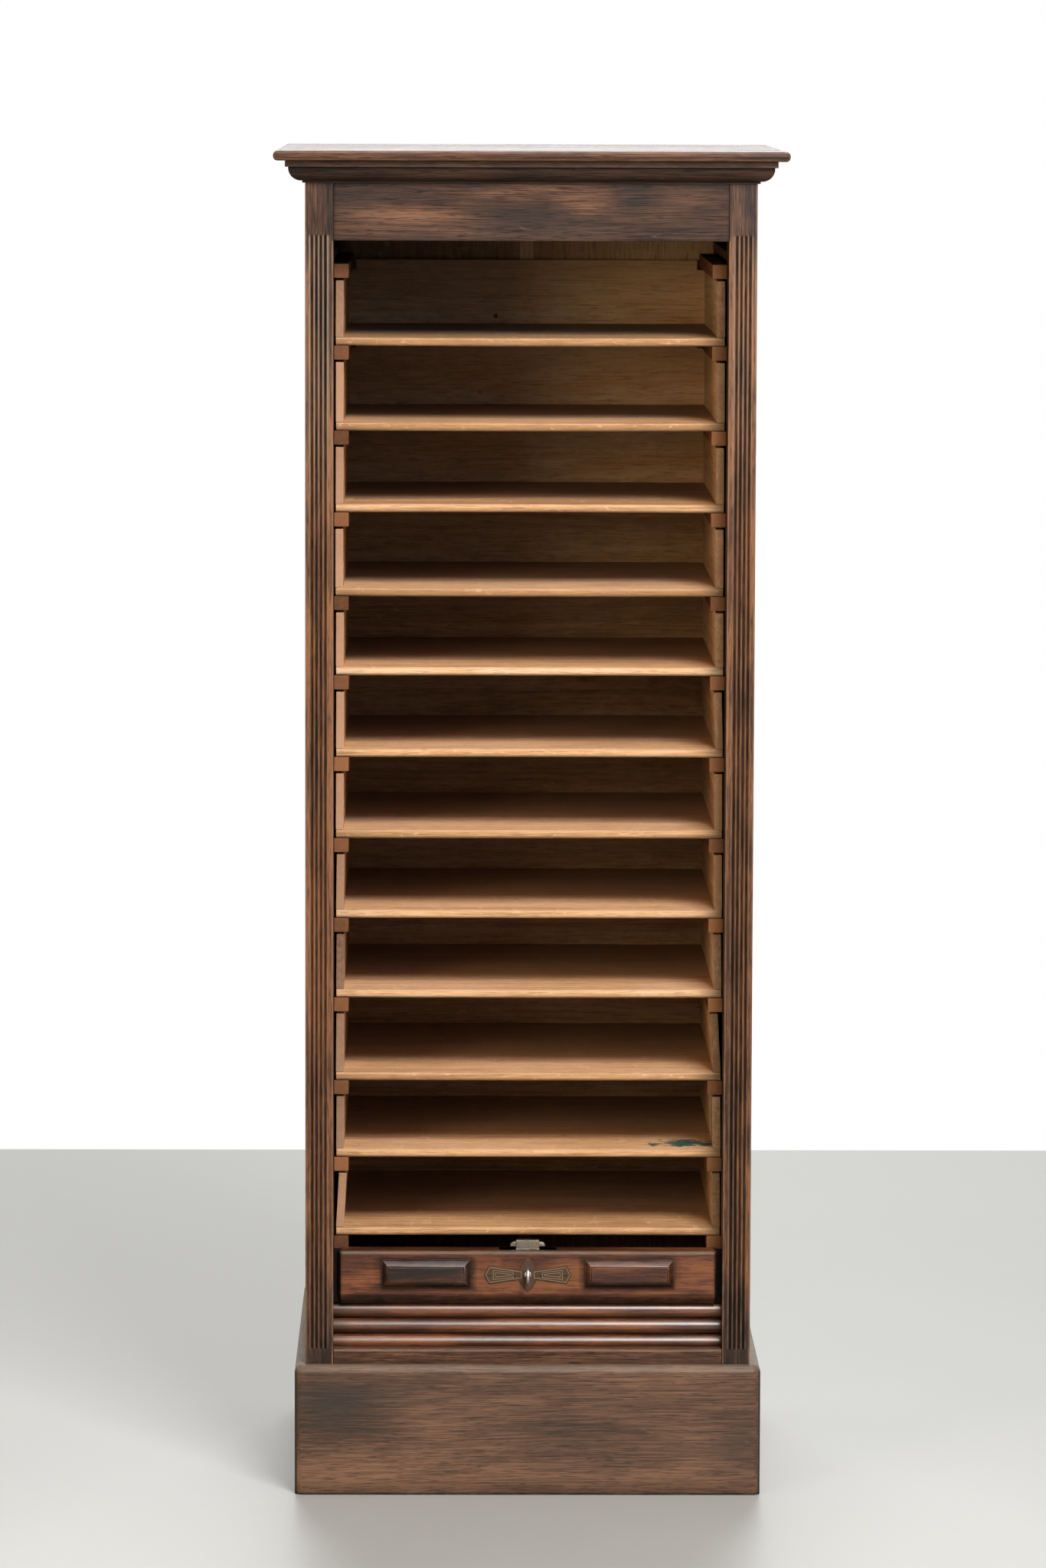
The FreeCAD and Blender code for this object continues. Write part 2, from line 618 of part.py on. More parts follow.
def back():
    """Inner back, back frame with two panels, and the base board."""
    low = "dims.base_board_height + dims.base_board_thick"
    leaf = "place.opening_half"
    wide = f"{leaf} - dims.joint_gap / 2"
    high = f"place.post_top - ({low})"
    deep = "dims.inner_back_thick"
    leaves = [
        block("inner_leaf_left", f"-{leaf}", "place.inner_back_y", low, wide, deep, high),
        block("inner_leaf_right", f"{leaf} - ({wide})", "place.inner_back_y", low, wide, deep, high),
        wide_block(
            "inner_strip", "dims.back_strip_width / 2", "place.inner_back_y - dims.back_strip_thick", low,
            "dims.back_strip_thick", high)]
    node(group("inner_back_group", leaves), "inner_back")
    member, top, foot = "dims.back_member", "place.post_top", "dims.back_member"
    inner = f"(2 * {leaf} - 3 * {member}) / 2"
    panel_high = f"{top} - {foot} - {member}"
    slots, panels = [], []
    for n, x in enumerate((f"-{leaf} + {member}", f"{member} / 2")):
        for kind, grow in ((slots, "dims.panel_fit"), (panels, "0")):
            edge = f"(dims.panel_tongue + {grow})"
            kind.append(block(
                f"back_panel_{n}_{len(slots)}{len(panels)}", f"{x} - {edge}",
                f"place.back_y + (dims.back_thick - dims.panel_thick) / 2 - {grow}", f"{foot} - {edge}",
                f"{inner} + 2 * {edge}", f"dims.panel_thick + 2 * {grow}", f"{panel_high} + 2 * {edge}"))
    tool = fuse("back_slots", slots)
    frame = []
    for n, x in enumerate((f"-{leaf}", f"-{member} / 2", f"{leaf} - {member}")):
        tall = (top, f"{panel_high} - 2 * dims.joint_gap", top)[n]
        start = ("0", f"{foot} + dims.joint_gap", "0")[n]
        frame.append(block(f"back_upright_{n}", x, "place.back_y", start, member, "dims.back_thick", tall))
    for n, z in enumerate(("0", f"{top} - {member}")):
        frame.append(wide_block(
            f"back_rail_{n}", f"{leaf} - {member} - dims.joint_gap", "place.back_y", z, "dims.back_thick",
            member))
    node(group("back_frame_group", [cut(f"{m.Name}_cut", m, tool) for m in frame]), "back_frame")
    node(group("back_panel_group", panels), "back_panels")
    node(wide_block(
        "base_board_blank", "place.opening_half + dims.base_board_hold", "dims.stile_depth",
        "dims.base_board_height", "place.rear_stile_y - dims.stile_depth", "dims.base_board_thick"),
        "base_board")


def tray_level(number):
    """Height of a tray's underside; number 0 is the top pair of runners."""
    lift = f"dims.runner_lift_{number:02d}"
    return f"(place.first_tray + {TRAY_COUNT - number} * dims.tray_pitch + {lift})"


def runners():
    """A pair of bars under each tray, and one pair over the top tray."""
    bars = [block(
        f"runner_{n:02d}", "-place.opening_half", "dims.tray_setback",
        f"{tray_level(n)} - dims.runner_height", "dims.runner_width",
        "place.inner_back_y - dims.tray_setback", "dims.runner_height")
        for n in range(TRAY_COUNT + 1)]
    both_sides("runners", group("left_runner_group", bars))


def tray(number):
    """An open-fronted tray: bottom board and back in one node, two sides in another."""
    name = f"tray_{number:02d}"
    level, wall = tray_level(number), "dims.tray_wall_thick"
    left = f"dims.tray_shift_{number:02d} - dims.tray_width / 2"
    floor = f"{level} + dims.tray_bottom_thick"
    high = f"({tray_level(number - 1)} - dims.runner_height - dims.tray_wall_play - ({floor}))"
    bottom = body_block(
        f"{name}_bottom", left, "dims.tray_setback", level, "dims.tray_width", "dims.tray_depth",
        "dims.tray_bottom_thick")
    work_edges(bottom, "Fillet", "dims.tray_nose_round", lambda c, d: near(c.y, 0) and abs(d.x) > 0.9)
    back_y = f"dims.tray_setback + dims.tray_depth - {wall}"
    rise = f"{high} + dims.tray_back_rise"
    blank = block(f"{name}_back_blank", left, back_y, floor, "dims.tray_width", wall, rise)
    notch = "(dims.runner_width + dims.tray_notch_play)"
    notches = [block(
        f"{name}_notch_{n}", f"{left} + {x}", back_y, f"{floor} + {high}", notch, wall,
        "dims.tray_back_rise")
        for n, x in enumerate(("0", f"dims.tray_width - {notch}"))]
    rear = cut(f"{name}_back", blank, fuse(f"{name}_notches", notches))
    node(group(f"{name}_base_group", [bottom, rear]), f"{name}_base")
    long = f"dims.tray_depth - {wall} - dims.tray_wall_setback"
    walls = [block(
        f"{name}_side_{n}", f"{left} + {x}", "dims.tray_setback + dims.tray_wall_setback", floor, wall,
        long, high)
        for n, x in enumerate(("0", f"dims.tray_width - {wall}"))]
    node(group(f"{name}_sides_group", walls), f"{name}_sides")


def slat_body():
    """One half-round slat, drawn across the case with its flat back on the XZ plane."""
    edge, high = "-dims.slat_edge", "place.slat_height"
    rise = "(dims.slat_thick - dims.slat_edge)"
    radius = f"({rise} ^ 2 + ({high} / 2) ^ 2) / (2 * {rise})"
    return bar(
        "slat_pattern", "YZ_Plane", [("0", "0"), ("0", high), (edge, high, radius), (edge, "0")],
        "2 * place.slat_half", ("0", "0", "0"), midplane=True)


def track_frame(travel):
    """Place and tilt of the slats' back face at a distance along the track, counted
    down from the lock rail: y, z and the turn about X in degrees."""
    radius = value("dims.bend_radius - dims.slat_thick / 2")
    front = value("place.groove_mid + dims.slat_thick / 2")
    rear = value("place.store_mid - dims.slat_thick / 2")
    bend = value("place.bend_height")
    arc = radius * math.pi / 2
    drop = value("place.rail_low") - bend
    level = rear - front - 2 * radius
    if travel <= drop:
        return front, value("place.rail_low") - travel, 0
    travel -= drop
    if travel <= arc:
        turn = travel / radius
        return front + radius - radius * math.cos(turn), bend - radius * math.sin(turn), math.degrees(turn)
    travel -= arc
    if travel <= level:
        return front + radius + travel, bend - radius, 90
    travel -= level
    if travel <= arc:
        turn = travel / radius
        along, down = radius * math.sin(turn), radius * math.cos(turn)
        return rear - radius + along, bend - down, 90 + math.degrees(turn)
    return rear, bend + travel - arc, 180


def slats():
    """The slats in the straight front run move with the lock rail; the rest are
    shown where they are stored, round the plinth and up behind the inner back."""
    pattern = slat_body().Tip.Shape
    half = value("place.slat_height") / 2
    pitch, face = value("dims.slat_pitch"), value("place.face")
    drop = value("place.rail_low - place.bend_height")
    covered = value("place.frieze_low - dims.lock_rail_height - place.bend_height")
    count = math.ceil(covered / pitch)
    running, stored = [], []
    for n in range(count):
        middle = value("dims.slat_gap") / 2 + half + n * pitch
        y, z, turn = track_frame(middle)
        copy = pattern.copy()
        copy.translate(FreeCAD.Vector(0, 0, -half))
        copy.rotate(FreeCAD.Vector(0, 0, 0), FreeCAD.Vector(1, 0, 0), turn)
        copy.translate(FreeCAD.Vector(0, face + y, z))
        (running if middle + half <= drop else stored).append(copy)
    for name, copies in (("front_slats", running), ("stored_slats", stored)):
        made = doc.addObject("Part::Feature", f"{name}_set")
        made.Shape = Part.makeCompound(copies)
        node(made, name)
    canvas(f"{len(running)} * dims.slat_pitch", count * pitch)
    tail = track_frame(count * pitch)[1]
    node(wide_block(
        "tail_stop_blank", "place.opening_half", "place.channel_y", f"{tail} + dims.stop_gap",
        "dims.channel_width", "dims.stop_height"), "tail_stop")


def canvas(front_length, end):
    """The cloth on the slats' backs: the front stretch, and the stored one."""
    half = "place.opening_half - dims.canvas_inset"
    node(wide_block(
        "canvas_front", half, "place.groove_mid + dims.slat_thick / 2", f"place.rail_low - {front_length}",
        "dims.canvas_thick", front_length), "shutter_canvas")
    split = value(front_length)
    thick = value("dims.canvas_thick")
    radius = value("dims.bend_radius - dims.slat_thick / 2")
    stations = [split, value("place.rail_low - place.bend_height")]
    stations += [stations[-1] + radius * math.pi / 4 * n for n in (1, 2)]
    level = value("place.store_mid - place.groove_mid - dims.slat_thick") - 2 * radius
    stations.append(stations[-1] + level)
    stations += [stations[-1] + radius * math.pi / 4 * n for n in (1, 2)]
    stations.append(end)

    def at(travel, inward):
        y, z, turn = track_frame(travel)
        turn = math.radians(turn)
        return FreeCAD.Vector(
            -value(half), value("place.face") + y + inward * math.cos(turn), z + inward * math.sin(turn))

    edges = []
    for inward, order in ((0, stations), (thick, stations[::-1])):
        p = [at(s, inward) for s in order]
        edges += [
            Part.LineSegment(p[0], p[1]), Part.Arc(p[1], p[2], p[3]), Part.LineSegment(p[3], p[4]),
            Part.Arc(p[4], p[5], p[6]), Part.LineSegment(p[6], p[7])]
        last = p[7]
        edges.append(Part.LineSegment(last, at(end, thick) if inward == 0 else at(split, 0)))
    band = Part.Face(Part.Wire([e.toShape() for e in edges]))
    made = doc.addObject("Part::Feature", "stored_canvas_band")
    made.Shape = band.extrude(FreeCAD.Vector(2 * value(half), 0, 0))
    node(made, "stored_canvas")


def lock_rail():
    """The shutter's top member: thick rail with end tongues, cut out for the lock."""
    deep, front = "dims.lock_rail_thick", "dims.lock_rail_setback"
    rail = bar(
        "lock_rail_bar", "YZ_Plane",
        [(deep, "0"), (deep, "dims.lock_rail_height"), ("0", "dims.lock_rail_height"),
         ("0", "dims.lock_rail_bevel"), ("dims.lock_rail_bevel_in", "0")],
        "2 * place.rail_half", ("0", front, "place.rail_low"), midplane=True)
    high, bevel_in = value("dims.lock_rail_height"), value("dims.lock_rail_bevel_in")
    work_edges(
        rail, "Chamfer", "dims.lock_rail_end_bevel",
        lambda c, d: abs(d.x) < 0.1 and c.y < bevel_in * 0.6)
    work_edges(rail, "Fillet", "dims.lock_rail_top_round", lambda c, d: near(c.z, high) and abs(d.x) > 0.9)
    reach = "dims.lock_rail_end_gap + dims.groove_depth - dims.slat_end_play"
    tongue = block(
        "rail_tongue", "-place.slat_half", "place.groove_mid - dims.slat_thick / 2", "place.rail_low", reach,
        "dims.slat_thick", "dims.lock_rail_height")
    whole = fuse("lock_rail_whole", [rail, tongue, mirrored("rail_tongue_twin", tongue)])
    fit = "dims.lock_fit"
    mortise = wide_block(
        "lock_mortise", f"dims.lock_width / 2 + {fit}", f"place.lock_back - dims.lock_thick - {fit}",
        f"place.rail_top - dims.lock_height - {fit}", f"dims.lock_thick + {fit}", f"dims.lock_height + {fit}")
    hole = rod("rail_key_hole", "dims.key_radius + dims.key_play", "0", front, "place.key_z", deep)
    node(cut("lock_rail_cut", whole, fuse("lock_rail_cutters", [mortise, hole])), "lock_rail")


def grips():
    """Two raised blocks with bevelled edges, which lift and lower the shutter."""
    width, high, slope = "dims.grip_width", "dims.grip_height", "dims.grip_slope"
    x = "-dims.grip_spread - dims.grip_width / 2"
    z = f"(place.rail_low + place.rail_top) / 2 + dims.grip_lift - {high} / 2"
    foot = block("grip_foot", x, "dims.lock_rail_setback - dims.grip_step", z, width, "dims.grip_step", high)
    inset = f"(dims.grip_step + {slope} + dims.grip_quirk)"
    field = block(
        "grip_field", f"{x} + {inset}",
        "dims.lock_rail_setback - dims.grip_step - dims.grip_rise - dims.grip_field", f"{z} + {inset}",
        f"{width} - 2 * {inset}", "dims.grip_field", f"{high} - 2 * {inset}")
    raised = doc.addObject("Part::Wedge", "grip_raised")
    rim = "dims.grip_step"
    bind(
        raised, at=(x, "place.face + dims.lock_rail_setback - dims.grip_step - dims.grip_rise", z),
        Ymax="dims.grip_rise", Xmin=f"{rim} + {slope}", Xmax=f"{width} - {rim} - {slope}",
        Zmin=f"{rim} + {slope}", Zmax=f"{high} - {rim} - {slope}",
        X2min=rim, X2max=f"{width} - {rim}", Z2min=rim, Z2max=f"{high} - {rim}")
    raised.Ymin = 0
    left = fuse("left_grip", [foot, raised, field])
    node(group("grip_group", [left, mirrored("right_grip", left)]), "rail_grips")


def escutcheon():
    """Brass plate with two wings and a centre lobe round the keyhole, held by pins."""
    thick, front = "dims.plate_thick", "dims.lock_rail_setback"
    outer, inner = "dims.plate_outer / 2", "dims.plate_inner / 2"
    tip, shoulder = "dims.plate_half", "dims.plate_shoulder"
    wings = bar(
        "escutcheon_wings", "XZ_Plane",
        [(f"-{tip}", "0"), (f"-{shoulder}", f"-{outer}"), ("0", f"-{inner}"), (shoulder, f"-{outer}"),
         (tip, "0"), (shoulder, outer), ("0", inner), (f"-{shoulder}", outer)],
        thick, ("0", front, "place.plate_z"))
    lobe_half, lobe_high = "(dims.plate_lobe_width / 2)", "(dims.plate_lobe_height / 2)"
    radius = f"({lobe_half} ^ 2 + {lobe_high} ^ 2) / (2 * {lobe_half})"
    lobe = bar(
        "escutcheon_lobe", "XZ_Plane", [("0", f"-{lobe_high}", radius), ("0", lobe_high, radius)],
        thick, ("0", front, "place.plate_z"))
    clear = "dims.key_radius + dims.key_play"
    hole = rod("plate_key_hole", clear, "0", f"{front} - {thick}", "place.key_z", thick)
    slit = wide_block(
        "plate_key_slit", "dims.key_bit_thick / 2 + dims.key_play", f"{front} - {thick}",
        "place.key_z - dims.key_bit_out", thick, "dims.key_bit_out")
    plate = fuse("escutcheon_plate", [wings, lobe])
    node(cut("escutcheon_cut", plate, fuse("keyhole", [hole, slit])), "escutcheon")
    pins = [rod(
        f"plate_pin_{n}", "dims.pin_radius", f"{sign}dims.pin_{which}", f"{front} - {thick} - dims.pin_rise",
        "place.plate_z", "dims.pin_rise")
        for n, (sign, which) in enumerate((("-", "outer"), ("-", "inner"), ("", "inner"), ("", "outer")))]
    node(group("plate_pin_group", pins), "escutcheon_pins")


def lock():
    """Lock case with the post that stands on the rail, two claws in it, and the key."""
    middle = "(place.lock_back - dims.lock_thick / 2)"
    case = wide_block(
        "lock_case_box", "dims.lock_width / 2", "place.lock_back - dims.lock_thick",
        "place.rail_top - dims.lock_height", "dims.lock_thick", "dims.lock_height")
    post = wide_block(
        "lock_post", "dims.post_width / 2", f"{middle} - dims.post_thick / 2", "place.rail_top",
        "dims.post_thick", "dims.post_height")
    gap = "dims.post_thick / 2 - dims.post_wall"
    claw_slot = wide_block(
        "claw_slot", "dims.post_width", f"{middle} - ({gap})",
        "place.rail_top + dims.claw_low - dims.claw_play", f"2 * ({gap})",
        "dims.claw_height + 2 * dims.claw_play")
    chamber = rod(
        "key_chamber", "dims.chamber_radius", "0", f"{middle} - dims.key_bit_long", "place.key_z",
        "2 * dims.key_bit_long")
    bore = rod(
        "case_key_hole", "dims.key_radius + dims.key_play", "0", "place.lock_back - dims.lock_thick",
        "place.key_z", "dims.lock_thick")
    hollows = fuse("lock_cutters", [claw_slot, chamber, bore])
    node(cut("lock_case_cut", fuse("lock_case_whole", [case, post]), hollows), "lock_case")
    claw = body_block(
        "claw_left_body", "-dims.claw_reach", f"{middle} - ({gap}) + dims.claw_play",
        "place.rail_top + dims.claw_low", "dims.claw_length", f"2 * ({gap}) - 2 * dims.claw_play",
        "dims.claw_height")
    high = value("dims.claw_height")
    work_edges(claw, "Fillet", "dims.claw_round", lambda c, d: near(c.x, 0) and near(c.z, high))
    node(claw, "claw_left")
    node(mirrored("claw_right_twin", claw), "claw_right")
    front = "(dims.lock_rail_setback - dims.key_reach)"
    shank = rod(
        "key_shank", "dims.key_radius", "0", front, "place.key_z",
        f"{middle} + dims.key_bit_long / 2 - {front}")
    bit = block(
        "key_bit", "-dims.key_bit_thick / 2", f"{middle} - dims.key_bit_long / 2",
        "place.key_z - dims.key_bit_out", "dims.key_bit_thick", "dims.key_bit_long", "dims.key_bit_out")
    rings = []
    for name in ("radius", "hole"):
        made = doc.addObject("Part::Cylinder", f"key_bow_{name}")
        made.Placement.Rotation = FreeCAD.Rotation(FreeCAD.Vector(0, 1, 0), 90)
        bind(
            made, at=(
                "-dims.key_bow_thick / 2", f"place.face + {front} - dims.key_bow_radius + dims.key_bow_bite",
                "place.key_z"),
            Radius=f"dims.key_bow_{name}", Height="dims.key_bow_thick")
        rings.append(made)
    node(fuse("key_whole", [shank, bit, cut("key_bow", *rings)]), "key")


def build():
    sides()
    front_members()
    plinth()
    cornice()
    top_board()
    back()
    runners()
    for number in range(1, TRAY_COUNT + 1):
        tray(number)
    slats()
    lock_rail()
    grips()
    escutcheon()
    lock()
    doc.recompute()


def write():
    """Check every object, then write one file per sub-part."""
    for obj in doc.Objects:
        if "Invalid" in obj.State or "Error" in obj.State:
            raise RuntimeError(f"{obj.Label} failed: {obj.State}")
    for name, obj in nodes.items():
        if obj.Shape.isNull() or not obj.Shape.isValid():
            raise RuntimeError(f"{name} has no sound shape")
        if not obj.Shape.Solids:
            raise RuntimeError(f"{name} has no solid")
    os.makedirs("parts", exist_ok=True)
    for name, obj in nodes.items():
        obj.Shape.exportStep(f"parts/{name}.step")
    print(len(nodes), "sub-parts,", sum(len(o.Shape.Solids) for o in nodes.values()), "solids")


build()
write()
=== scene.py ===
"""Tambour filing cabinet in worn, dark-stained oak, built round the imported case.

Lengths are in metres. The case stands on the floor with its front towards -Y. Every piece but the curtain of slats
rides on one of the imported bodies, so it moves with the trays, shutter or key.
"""

import json
import math
import random

import bmesh
import bpy
import numpy as np
from mathutils import Matrix, Vector


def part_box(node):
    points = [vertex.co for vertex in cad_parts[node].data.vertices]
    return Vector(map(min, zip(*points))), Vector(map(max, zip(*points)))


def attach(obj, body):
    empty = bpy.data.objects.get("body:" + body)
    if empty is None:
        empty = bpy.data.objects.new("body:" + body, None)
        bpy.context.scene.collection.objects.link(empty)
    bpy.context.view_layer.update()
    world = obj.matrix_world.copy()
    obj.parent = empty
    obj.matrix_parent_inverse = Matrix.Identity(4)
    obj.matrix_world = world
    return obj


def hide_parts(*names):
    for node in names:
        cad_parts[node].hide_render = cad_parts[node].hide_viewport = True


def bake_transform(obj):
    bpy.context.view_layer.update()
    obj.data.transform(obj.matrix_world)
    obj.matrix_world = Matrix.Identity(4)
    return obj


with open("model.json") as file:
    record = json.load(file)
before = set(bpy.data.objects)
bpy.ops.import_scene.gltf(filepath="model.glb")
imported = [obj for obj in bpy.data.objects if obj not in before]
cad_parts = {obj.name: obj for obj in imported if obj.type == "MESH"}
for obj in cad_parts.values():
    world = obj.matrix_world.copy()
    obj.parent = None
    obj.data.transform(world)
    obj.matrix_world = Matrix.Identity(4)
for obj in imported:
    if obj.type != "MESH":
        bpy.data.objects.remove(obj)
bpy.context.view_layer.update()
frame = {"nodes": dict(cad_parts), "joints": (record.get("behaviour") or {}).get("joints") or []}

bl_info = {
    "name": "Tambour filing cabinet",
    "version": (1, 0, 0),
    "blender": (4, 5, 0),
    "location": "View3D > Sidebar > Cabinet",
    "description": "Builds the boards, trays, shutter and fittings of a tambour filing cabinet",
    "category": "Object",
}

X, Y, Z = 0, 1, 2
TRAY_COUNT = 12
SMOOTH_ANGLE = math.radians(38)
MILLIMETRE = 0.001
WHITE = (1, 1, 1, 1)


def length(name, description, default):
    """A size property in metres."""
    return bpy.props.FloatProperty(
        name=name, description=description, default=default, unit="LENGTH", precision=5)


def colour(name, description, default):
    """A colour property."""
    return bpy.props.FloatVectorProperty(
        name=name, description=description, default=default, subtype="COLOR", size=3, min=0, max=1)


class CabinetSizes(bpy.types.PropertyGroup):
    """Sizes that a user would change."""
    arris: length("Arris", "Softened edge of a board", 0.0006)
    rub: length("Rubbed band", "How far wear reaches in from an edge", 0.0025)
    reed_pitch: length("Reed pitch", "One reed of a stile to the next", 0.0045)
    reed_start: length("First groove", "Outer edge of a stile to the first groove's middle", 0.0069)
    reed_depth: length("Groove depth", "Depth of the grooves between reeds", 0.002)
    reed_low: length("Groove foot", "Height where the grooves start", 0.1476)
    reed_high: length("Groove head", "Height where the grooves stop", 1.2924)
    reed_runout: length("Groove run-out", "Length over which a groove rises to the face", 0.004)
    track_setback: length("Track setback", "Shutter track behind the stile faces", 0.0185)
    track_width: length("Track width", "Shutter track across", 0.011)
    track_depth: length("Track depth", "Shutter track into the stiles", 0.009)
    top_round: length("Top rounding", "Bullnose of the top board", 0.0044)
    plinth_round: length("Plinth rounding", "Rounded top edge of the plinth", 0.008)
    sill_bevel: length("Sill bevel", "Bevel along the sill", 0.003)
    tray_bottom: length("Tray bottom", "Thickness of a tray's bottom board", 0.0085)
    tray_back: length("Tray back", "Thickness of a tray's back", 0.008)
    tray_notch: length("Tray notch", "Notch in the corners of a tray's back", 0.0164)
    tray_nose: length("Tray nose", "Rounding of a tray's front edge", 0.0036)
    tray_bow: length("Tray bow", "Most that a tray's bottom has bent", 0.0006)
    slat_pitch: length("Slat pitch", "One slat to the next", 0.0167)
    slat_gap: length("Slat gap", "Gap between slats", 0.0006)
    slat_edge: length("Slat edge", "Straight edge of a slat before its round face", 0.0025)
    rail_bevel: length("Rail bevel", "Height of the lock rail's lower bevel", 0.009)
    rail_bevel_in: length("Rail bevel depth", "Depth of the lock rail's bevels", 0.0045)


class CabinetFinish(bpy.types.PropertyGroup):
    """Colours that a user would change."""
    stain_deep: colour("Deep stain", "Darkest streaks of the stained oak", (0.016, 0.010, 0.008))
    stain_body: colour("Stain", "Main colour of the stained oak", (0.078, 0.037, 0.022))
    stain_pale: colour("Thin stain", "Stained oak where the stain has thinned", (0.215, 0.104, 0.059))
    stain_warm: colour("Warm stain", "Thinned stain on the stiles", (0.245, 0.106, 0.05))
    stain_worn: colour("Worn stain", "Stained oak on rubbed edges", (0.24, 0.125, 0.072))
    stain_bloom: colour("Bloom", "Grey film that has formed on the stain", (0.05, 0.038, 0.034))
    polish_deep: colour("Polished shade", "Darkest streaks of the polished shutter", (0.012, 0.006, 0.004))
    polish_body: colour("Polished stain", "Main colour of the polished shutter", (0.085, 0.025, 0.009))
    polish_pale: colour("Pale polish", "Polished shutter where the stain has thinned", (0.21, 0.07, 0.024))
    # Besides real dust, this colour paints a pale sheen: a painted highlight along the upper reed crests, the
    # plinth's rounded top and the lock rail's top edge.
    dust: colour("Dust", "Dust in the trays and dry wax on edges", (0.34, 0.29, 0.235))
    oak_deep: colour("Oak shade", "Darker streaks of the natural oak", (0.36, 0.19, 0.082))
    oak_body: colour("Oak", "Main colour of the natural oak", (0.64, 0.36, 0.175))
    oak_pale: colour("Pale oak", "Lighter streaks of the natural oak", (0.74, 0.485, 0.3))
    oak_worn: colour("Rubbed oak", "Natural oak on rubbed edges", (0.6, 0.37, 0.225))
    oak_ends: colour("Oak end grain", "End grain of the natural oak", (0.55, 0.3, 0.19))
    oak_film: colour("Oak handling marks", "Darkened places on the natural oak", (0.36, 0.17, 0.078))
    bar_deep: colour("Runner shade", "Darker streaks of the runner bars", (0.08, 0.03, 0.012))
    bar_body: colour("Runner", "Main colour of the runner bars", (0.22, 0.09, 0.035))
    bar_pale: colour("Pale runner", "Lighter streaks of the runner bars", (0.34, 0.142, 0.06))
    # Besides real dirt, this colour paints shade: painted shade in hollows and along lower edges, and painted shadows
    # that the stiles cast.
    dirt: colour("Dirt", "Dark dirt in corners and grooves", (0.008, 0.006, 0.005))
    brass: colour("Brass", "Rubbed brass", (0.22, 0.155, 0.098))
    patina: colour("Patina", "Dulled brass", (0.055, 0.033, 0.021))
    steel: colour("Steel", "Worn steel of the lock", (0.1, 0.09, 0.078))
    rust: colour("Rust", "Stained steel", (0.11, 0.075, 0.05))
    linen: colour("Linen", "Canvas on the shutter's back", (0.38, 0.32, 0.23))
    ink: colour("Ink", "Ink spilt in a tray", (0.012, 0.07, 0.06))
    knot: colour("Knot", "Knot in a tray's back", (0.02, 0.011, 0.006))
    floor: colour("Floor", "Pale floor", (0.42, 0.42, 0.402))


def sizes():
    return bpy.context.scene.cabinet_sizes


def finish():
    return bpy.context.scene.cabinet_finish


# Shapes
def axes_from(along):
    """The three axes in turn, from one of them on."""
    return [along, (along + 1) % 3, (along + 2) % 3]


def fade(values, start, end):
    """0 up to the start and 1 from the end on, eased between them."""
    share = np.clip((values - start) / (end - start), 0, 1)
    return share * share * (3 - 2 * share)


def blobs(points, rows):
    """Soft oval spots on a board's face: strength, then middle and reach along x and z."""
    x, _, z = points.T
    return sum(much * np.exp(-(((x - x0) / wide) ** 2 + ((z - z0) / tall) ** 2)) for much, x0, wide, z0, tall in rows)


def box_of(node):
    low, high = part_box(node)
    return np.array(low), np.array(high)


def solids(node):
    """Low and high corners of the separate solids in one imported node, lowest first."""
    mesh = frame["nodes"][node].data
    places = {}
    welded = [places.setdefault(tuple(round(c, 5) for c in vertex.co), len(places)) for vertex in mesh.vertices]
    parent = list(range(len(places)))

    def root(n):
        while parent[n] != n:
            parent[n] = parent[parent[n]]
            n = parent[n]
        return n

    for polygon in mesh.polygons:
        first, *others = [root(welded[v]) for v in polygon.vertices]
        for other in others:
            parent[other] = first
    members = {}
    for place, n in places.items():
        members.setdefault(root(n), []).append(place)
    boxes = [(np.min(m, axis=0), np.max(m, axis=0)) for m in members.values()]
    return sorted(boxes, key=lambda b: (round(b[0][Z], 4), round(b[0][X], 4), round(b[0][Y], 4)))


def places_along(low, high, start, end, turns, inset, spacing):
    """Places along one axis of a board, through both edges and across the flat."""
    curve = [math.tan(math.pi / 4 * n / turns) for n in range(turns + 1)]
    first = [low + start * (1 - t) for t in reversed(curve)] if start else [low]
    last = [high - end * (1 - t) for t in curve] if end else [high]
    flat = last[0] - first[-1]
    middle = []
    if flat > 3 * inset:
        count = max(1, round((flat - 2 * inset) / spacing))
        middle = [first[-1] + inset + (flat - 2 * inset) * n / count for n in range(count + 1)]
    return first + middle + last


def rounded_box(low, high, radii, turns=1, power=2, spacing=0.06):
    """Points, faces and edge wear of a board. The six radii belong to the faces at x low,
    x high, y low, y high, z low and z high; a power of 1 makes flat bevels."""
    radii = np.full(6, radii) if np.isscalar(radii) else np.array(radii)
    before, after, tiny = radii[0::2], radii[1::2], 1e-9
    axes = [places_along(low[a], high[a], before[a], after[a], turns, sizes().rub, spacing) for a in range(3)]
    index, faces = {}, []
    for axis in range(3):
        _, b, c = axes_from(axis)
        for side in (0, len(axes[axis]) - 1):
            for i, j in np.ndindex(len(axes[b]) - 1, len(axes[c]) - 1):
                face = []
                for p, q in ((i, j), (i + 1, j), (i + 1, j + 1), (i, j + 1)):
                    key = [0, 0, 0]
                    key[axis], key[b], key[c] = side, p, q
                    face.append(index.setdefault(tuple(key), len(index)))
                faces.append(tuple(face) if side else tuple(reversed(face)))
    points = np.array([[axes[a][key[a]] for a in range(3)] for key in index])
    inner = np.clip(points, np.array(low) + before, np.array(high) - after)
    out = points - inner
    reach = np.where(out < 0, before, after)
    share = np.where(reach > 0, np.abs(out) / np.maximum(reach, tiny), 0)
    total = (share ** power).sum(1) ** (1 / power)
    scale = np.where(total > tiny, share.max(1) / np.maximum(total, tiny), 1)
    return inner + out * scale[:, None], faces, np.sort(share, axis=1)[:, 1]


